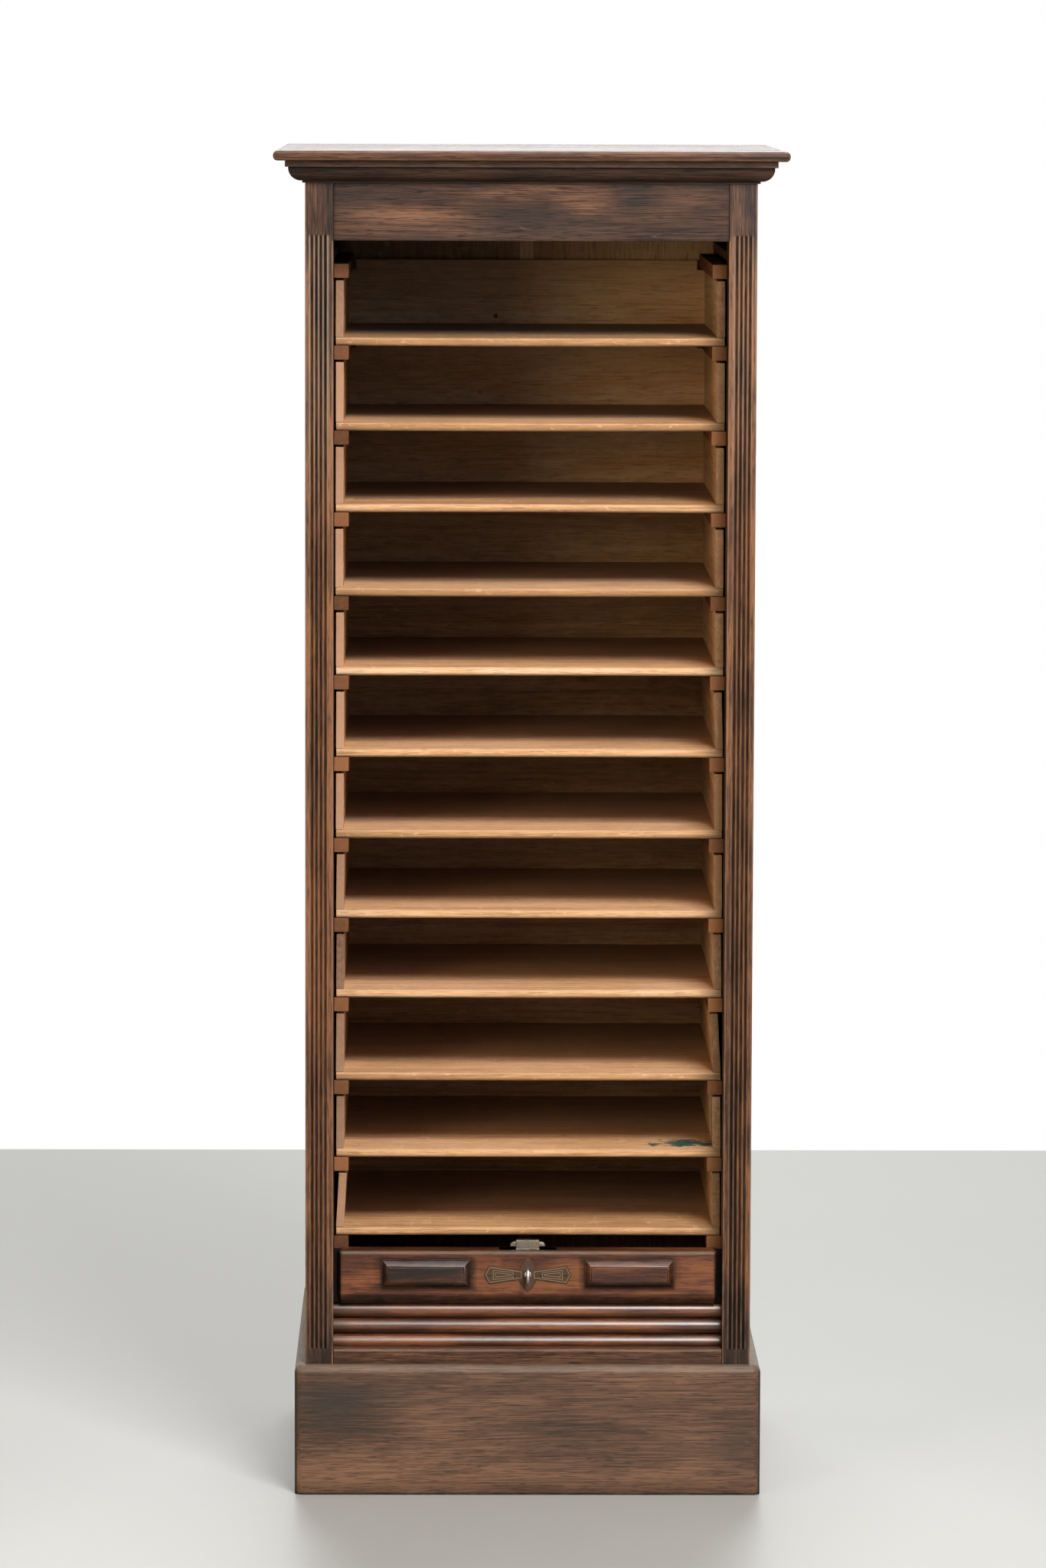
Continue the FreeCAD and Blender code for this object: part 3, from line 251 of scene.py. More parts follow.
def hoop(rings):
    """Points and faces of a tube whose rings of points run on into each other."""
    count = len(rings[0])
    faces = []
    for r in range(len(rings)):
        a, b = r * count, (r + 1) % len(rings) * count
        faces += [(a + n, a + (n + 1) % count, b + (n + 1) % count, b + n) for n in range(count)]
    return np.vstack(rings), faces


def loft(rings):
    """Points and faces of a skin through closed rings of points, capped at both ends."""
    points, faces = hoop(rings)
    count, total = len(rings[0]), len(points)
    return points, [tuple(range(count))[::-1], *faces[:-count], tuple(range(total - count, total))]


def inset_outline(outline, amount):
    """A closed outline moved inward by an amount; it runs counter-clockwise."""
    points = np.array(outline, float)
    ahead = np.roll(points, -1, axis=0) - points
    ahead /= np.linalg.norm(ahead, axis=1)[:, None]
    inward = np.stack([-ahead[:, 1], ahead[:, 0]], axis=1)
    middle = inward + np.roll(inward, 1, axis=0)
    middle /= np.maximum((middle * inward).sum(1), 0.2)[:, None]
    return points + middle * amount


def ring_in_xz(outline, y):
    """Outline points (x, z) as points in space at a depth."""
    return np.insert(np.array(outline, float), 1, y, axis=1)


def arc(centre, radius, start, end, count):
    """Points along an arc; angles in degrees."""
    angles = np.radians(np.linspace(start, end, count))
    return np.stack([centre[0] + radius * np.cos(angles), centre[1] + radius * np.sin(angles)], axis=1)


def circle(centre, radius, count):
    return arc(centre, radius, 0, 360 - 360 / count, count)


def in_scene(name, data):
    """A new object in the scene."""
    made = bpy.data.objects.new(name, data)
    bpy.context.scene.collection.objects.link(made)
    return made


class Stock:
    """Boards and fittings that make up one object, with the marks on their surfaces."""

    def __init__(self, name):
        self.name = name
        self.draw = random.Random(name)
        self.points, self.faces, self.grain, self.ends = [], [], [], []
        # The grime mark holds real dirt and also painted shade: darker hollows, lower edges and cast shadows.
        self.marks = {mark: [] for mark in ("worn", "grime", "patch", "tone", "dust")}
        self.count = 0

    def add(self, points, faces, worn=0.0, along=X, cut=1.0, **marks):
        """Add one closed shape. along is the axis that its grain follows, cut how far its
        ends look cut across; the marks are one number or one for each point."""
        count = len(points)
        offset = [self.draw.uniform(0, 9) for _ in range(3)]
        marks = {"worn": worn, "grime": 0.0, "patch": 0.0, "tone": self.draw.uniform(-1, 1), "dust": 0.0, **marks}
        for mark, values in marks.items():
            self.marks[mark].append(np.broadcast_to(np.asarray(values, float), (count,)))
        self.grain.append(points[:, axes_from(along)] + offset)
        for face in faces:
            corners = points[list(face)]
            normal = np.cross(corners, np.roll(corners, -1, axis=0)).sum(0)
            size = np.linalg.norm(normal)
            self.ends.append(cut if abs(normal[along]) > 0.75 * size > 0 else 0.0)
            self.faces.append(tuple(v + self.count for v in face))
        self.points.append(points)
        self.count += count

    def thing(self, material):
        """The finished object, in place but riding on nothing."""
        mesh = bpy.data.meshes.new(self.name)
        mesh.from_pydata(np.vstack(self.points).tolist(), [], self.faces)
        shell = bmesh.new()
        shell.from_mesh(mesh)
        bmesh.ops.recalc_face_normals(shell, faces=shell.faces)
        shell.to_mesh(mesh)
        shell.free()
        grain = mesh.attributes.new("grain", "FLOAT_VECTOR", "POINT")
        grain.data.foreach_set("vector", np.vstack(self.grain).astype(np.float32).ravel())
        rows = [(mark, "POINT", np.concatenate(values)) for mark, values in self.marks.items()]
        for mark, domain, values in (*rows, ("ends", "FACE", np.array(self.ends))):
            mesh.attributes.new(mark, "FLOAT", domain).data.foreach_set("value", values.astype(np.float32))
        mesh.materials.append(material)
        mesh.shade_smooth()
        mesh.set_sharp_from_angle(angle=SMOOTH_ANGLE)
        made = in_scene(self.name, mesh)
        made.modifiers.new("weighted_normals", "WEIGHTED_NORMAL").keep_sharp = True
        return made

    def ride(self, material, body, slot, *replaced):
        """The finished object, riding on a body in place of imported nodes."""
        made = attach(self.thing(material), body)
        if replaced:
            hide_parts(*replaced)
        return made


def board(stock, low, high, along, radii=None, move=None, marks=None, rub=1.0, **shape):
    """Add a plain board with softened edges to a stock."""
    points, faces, worn = rounded_box(low, high, sizes().arris if radii is None else radii, **shape)
    extra = marks(points) if marks else {}
    stock.add(points if move is None else move(points), faces, worn * rub, along, **extra)


def case_board(name, node, **shape):
    """One stained board of the case along X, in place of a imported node."""
    stock = Stock(name)
    board(stock, *box_of(node), X, **shape)
    stock.ride(oak("stained_oak"), "carcass", "dark_oak", node)


# Materials
class Nodes:
    """Adds shader nodes to one tree. A value is a socket or a fixed number."""

    def __init__(self, tree):
        self.tree = tree

    def feed(self, node, links):
        for key, value in links.items():
            if isinstance(value, bpy.types.NodeSocket):
                self.tree.links.new(value, node.inputs[key])
            else:
                node.inputs[key].default_value = value

    def put(self, kind, links=None, **settings):
        """Add a node; links gives values to its inputs."""
        node = self.tree.nodes.new(f"ShaderNode{kind}")
        for key, value in settings.items():
            setattr(node, key, value)
        self.feed(node, links or {})
        return node

    def maths(self, operation, *values, clamp=False):
        return self.put("Math", dict(enumerate(values)), operation=operation, use_clamp=clamp).outputs[0]

    def times(self, value, factor, plus=0.0, clamp=False):
        return self.maths("MULTIPLY_ADD", value, factor, plus, clamp=clamp)

    def vector(self, operation, *values):
        return self.put("VectorMath", dict(enumerate(values)), operation=operation).outputs[0]

    def remap(self, value, low, high):
        """A value stretched so that low becomes 0 and high becomes 1."""
        return self.put("MapRange", {0: value, 1: low, 2: high}, interpolation_type="SMOOTHSTEP").outputs[0]

    def mix(self, factor, first, second):
        return self.put("Mix", {0: factor, 6: first, 7: second}, data_type="RGBA").outputs[2]

    def noise(self, vector, scale, detail=2.0, roughness=0.5, distortion=0.0, output=0):
        """Noise stretched by a scale for each axis."""
        return self.put("TexNoise", {
            "Vector": self.vector("MULTIPLY", vector, scale), "Scale": 1.0, "Detail": detail,
            "Roughness": roughness, "Distortion": distortion}).outputs[output]

    def place(self):
        return self.put("TexCoord").outputs["Object"]

    def mark(self, name, output="Fac"):
        """A mark that Stock has put on the mesh."""
        return self.put("Attribute", attribute_name=name, attribute_type="GEOMETRY").outputs[output]

    def bump(self, height, strength, distance):
        return self.put("Bump", {"Height": height, "Strength": strength, "Distance": distance}).outputs[0]

    def use(self, effect, **links):
        """Outputs of an effect's node group, which is made once. The effect adds its nodes
        and gives its outputs by name; its inputs are Grain and then single values."""
        name = effect.__name__.replace("_", " ")
        tree = bpy.data.node_groups.get(name)
        if tree is None:
            tree = bpy.data.node_groups.new(name, "ShaderNodeTree")
            for socket in links:
                kind = "NodeSocketVector" if socket == "Grain" else "NodeSocketFloat"
                tree.interface.new_socket(name=socket, in_out="INPUT", socket_type=kind)
            inner = Nodes(tree)
            outputs = effect(inner, *tree.nodes.new("NodeGroupInput").outputs[:len(links)])
            for socket in outputs:
                tree.interface.new_socket(name=socket, in_out="OUTPUT", socket_type="NodeSocketFloat")
            inner.feed(tree.nodes.new("NodeGroupOutput"), outputs)
        return self.put("Group", links, node_tree=tree).outputs


class Shader(Nodes):
    """The nodes of a new material with one Principled shader."""

    def __init__(self, name):
        self.material = bpy.data.materials.new(name)
        self.material.use_nodes = True
        super().__init__(self.material.node_tree)
        self.principled = self.tree.nodes["Principled BSDF"]

    def surface(self, **links):
        """Give values to the shader's inputs; gives the material."""
        self.feed(self.principled, {key.replace("_", " "): value for key, value in links.items()})
        return self.material


def solid(rgb, factor=1.0):
    """A colour with its alpha."""
    return (*[c * factor for c in rgb], 1.0)


def oak_figure(t, grain):
    """Growth rings, fibres, pores, clouds of stain, ray flecks, film and hairline scuffs of
    oak along X."""
    sway = t.noise(grain, (1.6, 8, 8), output=1)
    shift = t.vector("MULTIPLY", t.vector("ADD", sway, (-0.5, -0.5, -0.5)), (0, 0.022, 0.022))
    bent = t.vector("ADD", grain, shift)
    aside = t.vector("ADD", bent, (3.1, 5.7, 1.9))
    pores = t.remap(t.noise(bent, (45, 1100, 1100), 1), 0.56, 0.7)
    dashes = t.remap(t.noise(bent, (62, 430, 430)), 0.58, 0.72)
    lines = t.noise(aside, (7, 46, 46), 2, 0.45)
    hair = t.remap(t.maths("ABSOLUTE", t.maths("SUBTRACT", lines, 0.5)), 0.009, 0.002)
    some = t.remap(t.noise(aside, (31, 44, 44)), 0.57, 0.63)
    around = t.put("SeparateXYZ", {0: t.vector("ADD", bent, sway)}).outputs
    bands = t.maths("SINE", t.times(t.times(around[Z], 0.55, around[Y]), 3600.0))
    return {
        "Rings": t.remap(t.noise(bent, (2.4, 150, 150), 4, 0.62), 0.3, 0.7),
        "Fibre": t.remap(t.noise(bent, (15, 760, 760), 3, 0.62), 0.28, 0.72),
        "Pores": t.maths("MAXIMUM", pores, t.times(dashes, 0.7)),
        "Cloud": t.remap(t.noise(grain, (5.5, 24, 24), 5, 0.62, 0.35), 0.3, 0.7),
        "Flecks": t.remap(t.noise(bent, (75, 34, 190), 2, 0.5, 1.2), 0.6, 0.72),
        "Film": t.remap(t.noise(aside, (4.2, 17, 17), 5, 0.62, 0.4), 0.48, 0.7),
        "Scuffs": t.times(hair, some),
        "End lines": t.remap(bands, -1.0, 1.0),
    }


def edge_rub(t, grain, worn, amount):
    """Broken wear along edges."""
    uneven = t.times(t.noise(grain, (38, 130, 130), 4, 0.65), 1.6, 0.1)
    return {"Mask": t.remap(t.times(t.times(worn, amount), uneven), 0.1, 0.8)}


def gathered_dirt(t, grain, grime):
    """Makes a mark uneven. It serves the dark layer, which is real dirt together with painted shade, and the pale
    layer, which is real dust together with a painted sheen.
    """
    uneven = t.times(t.noise(grain, (60, 200, 200), 3, 0.6), 0.9, 0.5)
    return {"Mask": t.times(grime, uneven, clamp=True)}


def dents(t, grain):
    """A few small dents and bruises."""
    cells = t.put("TexVoronoi", {"Vector": grain, "Scale": 21.0}).outputs
    lot = t.put("SeparateColor", {0: cells["Color"]}).outputs[0]
    return {"Mask": t.times(t.remap(cells["Distance"], 0.075, 0.03), t.remap(lot, 0.62, 0.66))}


# How each kind of oak looks: colours by name, then strengths
STAIN = dict(
    deep="stain_deep", body="stain_body", pale="stain_pale", worn="stain_worn", ends="stain_deep", film="stain_bloom",
    rings=0.08, cloud=0.32, fibre=0.42, pores=0.65, flecks=0.0, filmed=0.32, scuffs=0.2, tone=0.05, rub=0.6,
    rough=0.36, gloss=0.06, shine=0.02, bump=0.4)
WARM = dict(STAIN, pale="stain_warm", rings=0.16, cloud=0.75, filmed=0.35, gloss=0.12)
POLISHED = dict(
    WARM, deep="polish_deep", body="polish_body", pale="polish_pale", rings=0.12, fibre=0.3, filmed=0.1, rub=0.4,
    rough=0.34, gloss=0.4, bump=0.3)
NATURAL = dict(
    deep="oak_deep", body="oak_body", pale="oak_pale", worn="oak_worn", ends="oak_ends", film="oak_film",
    rings=0.36, cloud=0.3, fibre=0.42, pores=0.55, flecks=0.42, filmed=0.3, scuffs=0.12, tone=0.25, rub=0.6,
    rough=0.6, gloss=0.0, shine=0.06, bump=0.3)
OAK_LOOKS = {
    "stained_oak": STAIN,
    "rubbed_oak": WARM,
    "shutter_oak": dict(POLISHED, fibre=0.26, rough=0.3, gloss=0.8, shine=0.04, bump=0.2),
    "rail_oak": POLISHED,
    "natural_oak": NATURAL,
    "runner_oak": dict(
        NATURAL, deep="bar_deep", body="bar_body", pale="bar_pale", worn="bar_pale", ends="bar_pale", film="bar_deep",
        rings=0.4, cloud=0.35, fibre=0.35, pores=0.5, flecks=0.1, filmed=0.2, scuffs=0.1, tone=0.2, shine=0.04,
        bump=0.35),
    "backing_oak": dict(NATURAL, rings=0.16, cloud=0.2, tone=0.1, shine=0.12),
}
COAT_ROUGHNESS = 0.3
PORE_DEPTH = 0.0004

# Blots on a tray: middles and half sizes, how ragged they are, and how dark
SPOTS = {
    "ink": ((((0.162, -0.13, 0.351), (0.034, 0.034, 1)), ((0.184, -0.136, 0.351), (0.018, 0.02, 1)),
             ((0.13, -0.138, 0.351), (0.009, 0.012, 1))), 3.0, 0.95),
    "knot": ((((-0.033, 0.179, 1.194), (0.003, 1, 0.0036)),), 0.8, 0.85),
}


def blots(t, places, ragged, strength):
    """Mask of the blots of one of SPOTS."""
    place = t.place()
    nearest = 10.0
    for centre, half in places:
        scaled = t.vector("DIVIDE", t.vector("SUBTRACT", place, centre), half)
        far = t.put("VectorMath", {0: scaled}, operation="LENGTH").outputs["Value"]
        nearest = t.maths("MINIMUM", nearest, far)
    torn = t.noise(place, (90, 140, 90), 5, 0.7, 0.8)
    edge = t.maths("SUBTRACT", t.times(torn, ragged, 1 - 0.55 * ragged), nearest)
    return t.times(t.remap(edge, 0.05, 0.4), strength)


def oak(look_name, along=None, spot=None):
    """Oak as one of OAK_LOOKS. Pieces made here carry their own grain and marks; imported
    nodes take the grain along one axis of the case. spot names one of SPOTS."""
    name = look_name + (f"_along_{'xyz'[along]}" if along is not None else "") + (f"_{spot}" if spot else "")
    if name in bpy.data.materials:
        return bpy.data.materials[name]
    look, marked = OAK_LOOKS[look_name], along is None
    tint = {key: solid(getattr(finish(), look[key])) for key in ("deep", "body", "pale", "worn", "ends", "film")}
    t = Shader(name)
    if marked:
        grain = t.mark("grain", "Vector")
    else:
        place = t.put("SeparateXYZ", {0: t.place()}).outputs
        grain = t.put("CombineXYZ", {n: place[a] for n, a in enumerate(axes_from(along))}).outputs[0]
    figure = t.use(oak_figure, Grain=grain)
    bruise = t.use(dents, Grain=grain)[0]
    level = t.times(figure["Rings"], look["rings"], 0.5 - look["rings"] / 2)
    for output in ("Cloud", "Fibre"):
        strength = look[output.lower()]
        level = t.maths("ADD", level, t.times(figure[output], strength, -strength / 2))
    film, coat = figure["Film"], look["gloss"]
    height = t.times(figure["Pores"], -0.8, t.times(figure["Fibre"], 0.35))
    rough = t.times(figure["Cloud"], 0.14, t.times(figure["Pores"], 0.16, look["rough"]))
    if marked:
        patch = t.mark("patch")
        level = t.times(patch, 0.5, t.times(t.mark("tone"), look["tone"], level))
        film = t.times(patch, -0.9, film, clamp=True)
    ramp = t.put("ValToRGB", {0: level})
    stops = ramp.color_ramp.elements
    stops[0].position, stops[0].color = 0.08, tint["deep"]
    stops[1].position, stops[1].color = 0.95, tint["pale"]
    stops.new(0.5).color = tint["body"]
    # Coats of colour from the wood out: where, how strong, and which
    coats = [
        (film, look["filmed"], tint["film"]),
        (figure["Scuffs"], look["scuffs"], tint["worn"]),
        (figure["Pores"], look["pores"], solid(tint["deep"][:3], 0.6)),
        (figure["Flecks"], look["flecks"], tint["pale"]),
        (bruise, 0.55, solid(tint["deep"][:3], 0.7))]
    if marked:
        cut = t.mix(t.times(figure["End lines"], 0.3), tint["ends"], tint["deep"])
        rubbed = t.use(edge_rub, Grain=grain, Worn=t.mark("worn"), Amount=look["rub"])[0]
        # The pale layer also paints sheen, and the dark layer also paints shade in hollows, under parts and in cast
        # shadows.
        dust, dirt = (t.use(gathered_dirt, Grain=grain, Grime=t.mark(mark))[0] for mark in ("dust", "grime"))
        coats += [
            (t.mark("ends"), 0.85, cut), (rubbed, 1.0, tint["worn"]), (dust, 1.0, solid(finish().dust)),
            (dirt, 1.0, solid(finish().dirt))]
        rough = t.times(dirt, 0.12, rough)
        coat = coat and t.times(dirt, -coat, coat)
    if spot:
        coats.append((blots(t, *SPOTS[spot]), 1.0, solid(getattr(finish(), spot))))
    shade = ramp.outputs[0]
    for mask, strength, over in coats:
        if strength:
            shade = t.mix(t.times(mask, strength), shade, over)
    return t.surface(
        Base_Color=shade, Roughness=rough, Specular_IOR_Level=look["shine"], Coat_Weight=coat,
        Coat_Roughness=COAT_ROUGHNESS, Normal=t.bump(t.times(bruise, -1.5, height), look["bump"], PORE_DEPTH))


def metal(name, bright, dull, cover, rough, dinted=0.35):
    """Worn metal: bright where it is rubbed, dull in patches, finely scratched."""
    t = Shader(name)
    place = t.place()
    spots = t.noise(place, (160, 160, 160), 5, 0.65)
    scratch = t.noise(place, (120, 120, 2600), 3, 0.6, 0.3)
    dulled = t.times(t.mark("worn"), -1.0, t.remap(t.maths("ADD", spots, cover), 0.42, 0.68), clamp=True)
    return t.surface(
        Metallic=1.0, Base_Color=t.mix(dulled, solid(bright), solid(dull)),
        Roughness=t.times(scratch, 0.12, t.times(dulled, 0.25, rough)),
        Normal=t.bump(t.times(spots, 0.6, t.times(scratch, 0.3)), dinted, 0.0003))


def canvas():
    """Plain-woven linen, yellowed in patches."""
    t = Shader("linen_canvas")
    place, linen = t.place(), finish().linen
    threads = {"Vector": place, "Scale": 260.0, "Distortion": 0.6, "Detail": 1.0}
    weave = t.maths("MAXIMUM", *(t.put("TexWave", threads, bands_direction=way).outputs["Fac"] for way in "XZ"))
    shade = t.mix(t.noise(place, (9, 9, 9), 4, 0.6), solid(linen, 0.6), solid(linen, 1.15))
    return t.surface(
        Base_Color=t.mix(t.times(weave, -0.4, 0.4), shade, solid(linen, 0.35)), Specular_IOR_Level=0.2,
        Roughness=t.times(weave, -0.1, 0.9), Normal=t.bump(weave, 0.5, 0.0004))


def carry_over(node, material, bevel=0.0):
    """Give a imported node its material, and softened edges where asked."""
    thing = frame["nodes"][node]
    thing.data.materials.clear()
    thing.data.materials.append(material)
    if bevel:
        thing.modifiers.new("weld", "WELD").merge_threshold = 1e-5
        flat = thing.modifiers.new("dissolve", "DECIMATE")
        flat.decimate_type, flat.angle_limit = "DISSOLVE", math.radians(1)
        edge = thing.modifiers.new("edge", "BEVEL")
        edge.width, edge.segments = bevel, 2
        edge.limit_method, edge.angle_limit = "ANGLE", math.radians(30)


# Pieces
REED_COUNT, REED_POINTS = 4, 73
GROOVE_REACH, GROOVE_POWER = 0.52, 1.25
STILE_STEP = 0.03


def stile(node, turned):
    """One front stile, with stopped reeds and the shutter's track; a turned one is the right."""
    s = sizes()
    low, high = box_of(node)
    wide, deep = high[X] - low[X], high[Y] - low[Y]
    r, rub, pitch = s.arris, s.rub, s.reed_pitch
    across = np.linspace(s.reed_start - pitch / 2, s.reed_start + (REED_COUNT - 0.5) * pitch, REED_POINTS)
    off = np.abs(across - s.reed_start - pitch * np.arange(REED_COUNT)[:, None]) / (GROOVE_REACH * pitch)
    groove = ((0.5 + 0.5 * np.cos(np.pi * np.minimum(off, 1))) ** GROOVE_POWER).max(0)
    front = [r, rub + r, *across, wide - rub - r, wide - r]
    cut_in = 0.3 * r
    track, end = s.track_setback, s.track_setback + s.track_width
    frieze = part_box("top_rail")[0].z
    rises = s.reed_runout * np.linspace(0, 1, 6)
    stations = np.unique(np.concatenate([
        [low[Z], low[Z] + rub], s.reed_low + rises,
        np.arange(s.reed_low + STILE_STEP, s.reed_high - STILE_STEP, STILE_STEP), s.reed_high - rises,
        [frieze - r, frieze + r, high[Z] - rub, high[Z]]]).round(6))
    rings, worn, grime, dust = [], [], [], []
    for z in stations:
        into = fade(min(z - s.reed_low, s.reed_high - z), 0, s.reed_runout)
        below = float(z < frieze)
        slot = s.track_depth * below
        lifted = np.maximum(groove - 1 + into, 0)
        outline = np.array([
            (0, rub + r), (0, r), (cut_in, cut_in), *zip(front, np.pad(lifted, 2) * s.reed_depth),
            (wide - cut_in, cut_in), (wide, r), (wide, track), (wide - slot, track), (wide - slot, end),
            (wide, end), (wide, deep - r), (wide - r, deep), (r, deep), (0, deep - r)])
        x = high[X] - outline[:, 0] if turned else low[X] + outline[:, 0]
        rings.append(np.stack([x, low[Y] + outline[:, 1], np.full(len(x), z)], axis=1))
        # Reed crests near the top get a pale painted sheen from the dust colour; the groove depths and the inner
        # arris beside the frieze are darkened with dirt and painted shade.
        crest = (1 - groove) * 0.7 * into
        corner = 0.8 * (1 - below)
        crest_sheen = (0.25 if turned else 0.45) * fade(z, 0.95, 1.15) * into
        worn += [0, 0.6, 1, 0.9, 0, *crest, 0, 0.9 * below, below, 0.6 * below] + [0] * 8
        grime += [0] * 5 + [*(0.9 * lifted ** 1.4), 0, 0, corner, corner] + [0] * 8
        dust += [0] * 5 + [*((1 - groove) ** 3 * crest_sheen)] + [0] * 12
    points, faces = loft(rings)
    stock = Stock(f"{node}_reeded")
    stock.add(points, faces, worn, Z, grime=grime, dust=dust, patch=rubbed_stain(points, turned))
    stock.ride(oak("rubbed_oak"), "carcass", "dark_oak", node)


def rubbed_stain(points, turned):
    """Stain that hands have thinned half-way up the front, and that is dark at the head and foot."""
    z = points[:, Z]
    hand = fade(z, 1.25, 0.95) * fade(z, 0.3, 0.6)
    front = 0.16 + (0.2 if turned else 0.36) * hand - 0.4 * fade(z, 1.27, 1.3) - 0.7 * fade(z, 0.26, 0.16)
    behind = fade(points[:, Y] - points[:, Y].min(), 0.004, 0.014)
    return front * (1 - behind) - 0.25 * behind


class CABINET_OT_stiles(bpy.types.Operator):
    """Make the two front stiles with their stopped reeds"""
    bl_idname = "cabinet.stiles"
    bl_label = "Reeded stiles"

    def execute(self, context):
        stile("left_front_stile", False)
        stile("right_front_stile", True)
        return {"FINISHED"}


# Where the stain is thinner or darker, as rows of blobs
FRIEZE_PATCHES = (
    (1.15, -0.14, 0.06, 1.311, 0.009), (0.45, -0.02, 0.06, 1.337, 0.01), (0.55, 0.055, 0.03, 1.325, 0.014),
    (-0.65, -0.005, 0.05, 1.305, 0.015), (-0.5, 0.105, 0.025, 1.33, 0.025))
PLINTH_PATCHES = (
    (-1.2, -0.195, 0.045, 0.09, 0.025), (-0.5, 0.215, 0.03, 0.05, 0.03), (-0.35, 0.06, 0.07, 0.072, 0.01),
    (-0.4, 0.13, 0.06, 0.014, 0.007))


def frieze_marks(points):
    """Stain that has thinned at the left and along the lower edge."""
    return {"patch": blobs(points, FRIEZE_PATCHES) - 0.3, "grime": 0.5 * fade(np.abs(points[:, X]), 0.196, 0.2)}


def inner_back():
    """Two leaves, which painted shade darkens towards the left, and the strip between them."""
    stock = Stock("inner_back_boards")
    leaf_least = 0.1
    for low, high in solids("inner_back"):
        strip = high[X] - low[X] < leaf_least

        def marks(points):
            # Painted shade: the leaves grow darker and browner towards the left.
            right = fade(points[:, X], -0.2, 0.2)
            uneven = {"patch": 0.5} if strip else {"patch": 1.2 * right - 0.8, "grime": 0.6 * (1 - right)}
            return {"tone": 0.0, "dust": 0.15, **uneven}

        board(stock, low, high, Z, marks=marks)
    stock.ride(oak("backing_oak"), "carcass", "inner_oak", "inner_back")


class CABINET_OT_case(bpy.types.Operator):
    """Make the frieze, sill, inner back and the frames and panels of the sides and back"""
    bl_idname = "cabinet.case"
    bl_label = "Case boards"

    def execute(self, context):
        a, bevel = sizes().arris, sizes().sill_bevel
        case_board("frieze", "top_rail", spacing=0.012, marks=frieze_marks, rub=0.4)
        case_board("sill", "bottom_sill", radii=(a, a, bevel, a, a, bevel), power=1, spacing=0.02)
        for name, along, nodes in (
                ("side_frames", None, ("left_side_frame", "right_side_frame")),
                ("side_panels", Z, ("left_side_panels", "right_side_panels")),
                ("back_frame_boards", None, ("back_frame",)), ("back_panel_boards", Z, ("back_panels",))):
            stock = Stock(name)
            for low, high in (corners for node in nodes for corners in solids(node)):
                board(stock, low, high, int(np.argmax(high - low)) if along is None else along)
            stock.ride(oak("stained_oak"), "carcass", "dark_oak", *nodes)
        inner_back()
        return {"FINISHED"}


# Outline of the cornice, out from the case and up, with how worn its corners are and how dark its hollows are with
# dirt and painted shade
CORNICE_TALL, CORNICE_OUT = 22.5, 19.8
CORNICE = np.vstack([
    [(0, 0), (2.4, 0), (2.7, 0.3), (2.7, 2.2)], arc((3.64, 15.17), 13, -86, 4.5, 11),
    [(17.2, 16.2), (19.4, 16.2), (19.8, 16.6), (19.8, 22.1), (19.4, 22.5), (0, 22.5)]])
CORNICE_WORN = (0, 0.3, 0.5, 0.1, *([0.1] * 11), 0, 0.4, 0.6, 0.5, 0.3, 0)
CORNICE_GRIME_AND_SHADE = (0.6, 0, 0, 0.8, 0.7, *([0.1] * 8), 0.4, 0.8, 0.8, 0.1, 0, 0, 0, 0.5)


def cornice():
    """The moulding along the front and both sides, mitred at the corners."""
    low, high = box_of("cornice")
    case = box_of("left_front_stile")[0]
    half, face = -case[X], case[Y]
    out = CORNICE[:, 0] * (-half - low[X]) / CORNICE_OUT
    up = low[Z] + CORNICE[:, 1] * (high[Z] - low[Z]) / CORNICE_TALL
    left, right = (np.stack([side * (half + out), face - out, up], axis=1) for side in (-1, 1))
    shares = np.linspace(0, 1, 25)
    stock = Stock("cornice_moulding")
    for along, start, end in ((X, left, right), (Y, left, None), (Y, right, None)):
        if end is None:
            end = start.copy()
            end[:, Y] = high[Y]
        points, faces = loft([start + (end - start) * share for share in shares])
        stock.add(points, faces, np.tile(CORNICE_WORN, len(shares)), along,
                  grime=np.tile(CORNICE_GRIME_AND_SHADE, len(shares)), patch=-0.5)
    stock.ride(oak("stained_oak"), "carcass", "dark_oak", "cornice")


def top_marks(points):
    """The front edge is rubbed paler than the top."""
    return {"patch": 0.05 * fade(points[:, Y] - points[:, Y].min(), 0.008, 0.002) - 0.1}


class CABINET_OT_top(bpy.types.Operator):
    """Make the top board with its rounded edge and the cornice under it"""
    bl_idname = "cabinet.top"
    bl_label = "Top and cornice"

    def execute(self, context):
        r = sizes().top_round
        case_board("top_board_round", "top_board", radii=(r, r, r, sizes().arris, r, r), turns=3, spacing=0.03,
                   marks=top_marks)
        cornice()
        return {"FINISHED"}


def plinth_marks(points):
    """Scuffed paler along the floor, with darker clouds above, a painted shadow line along the floor, and a little
    dust with a painted highlight on the rounded top.
    """
    z = points[:, Z]
    crown = fade(z - z.max(), -0.009, -0.003)
    # The dark band at the foot is a painted contact shadow; the pale band on the rounded top is a painted highlight
    # over a little dust.
    return {
        "patch": 0.4 * fade(z, 0.05, 0.015) + blobs(points, PLINTH_PATCHES) + 0.3, "grime": fade(z, 0.005, 0.001),
        "dust": 0.08 + 0.17 * crown}


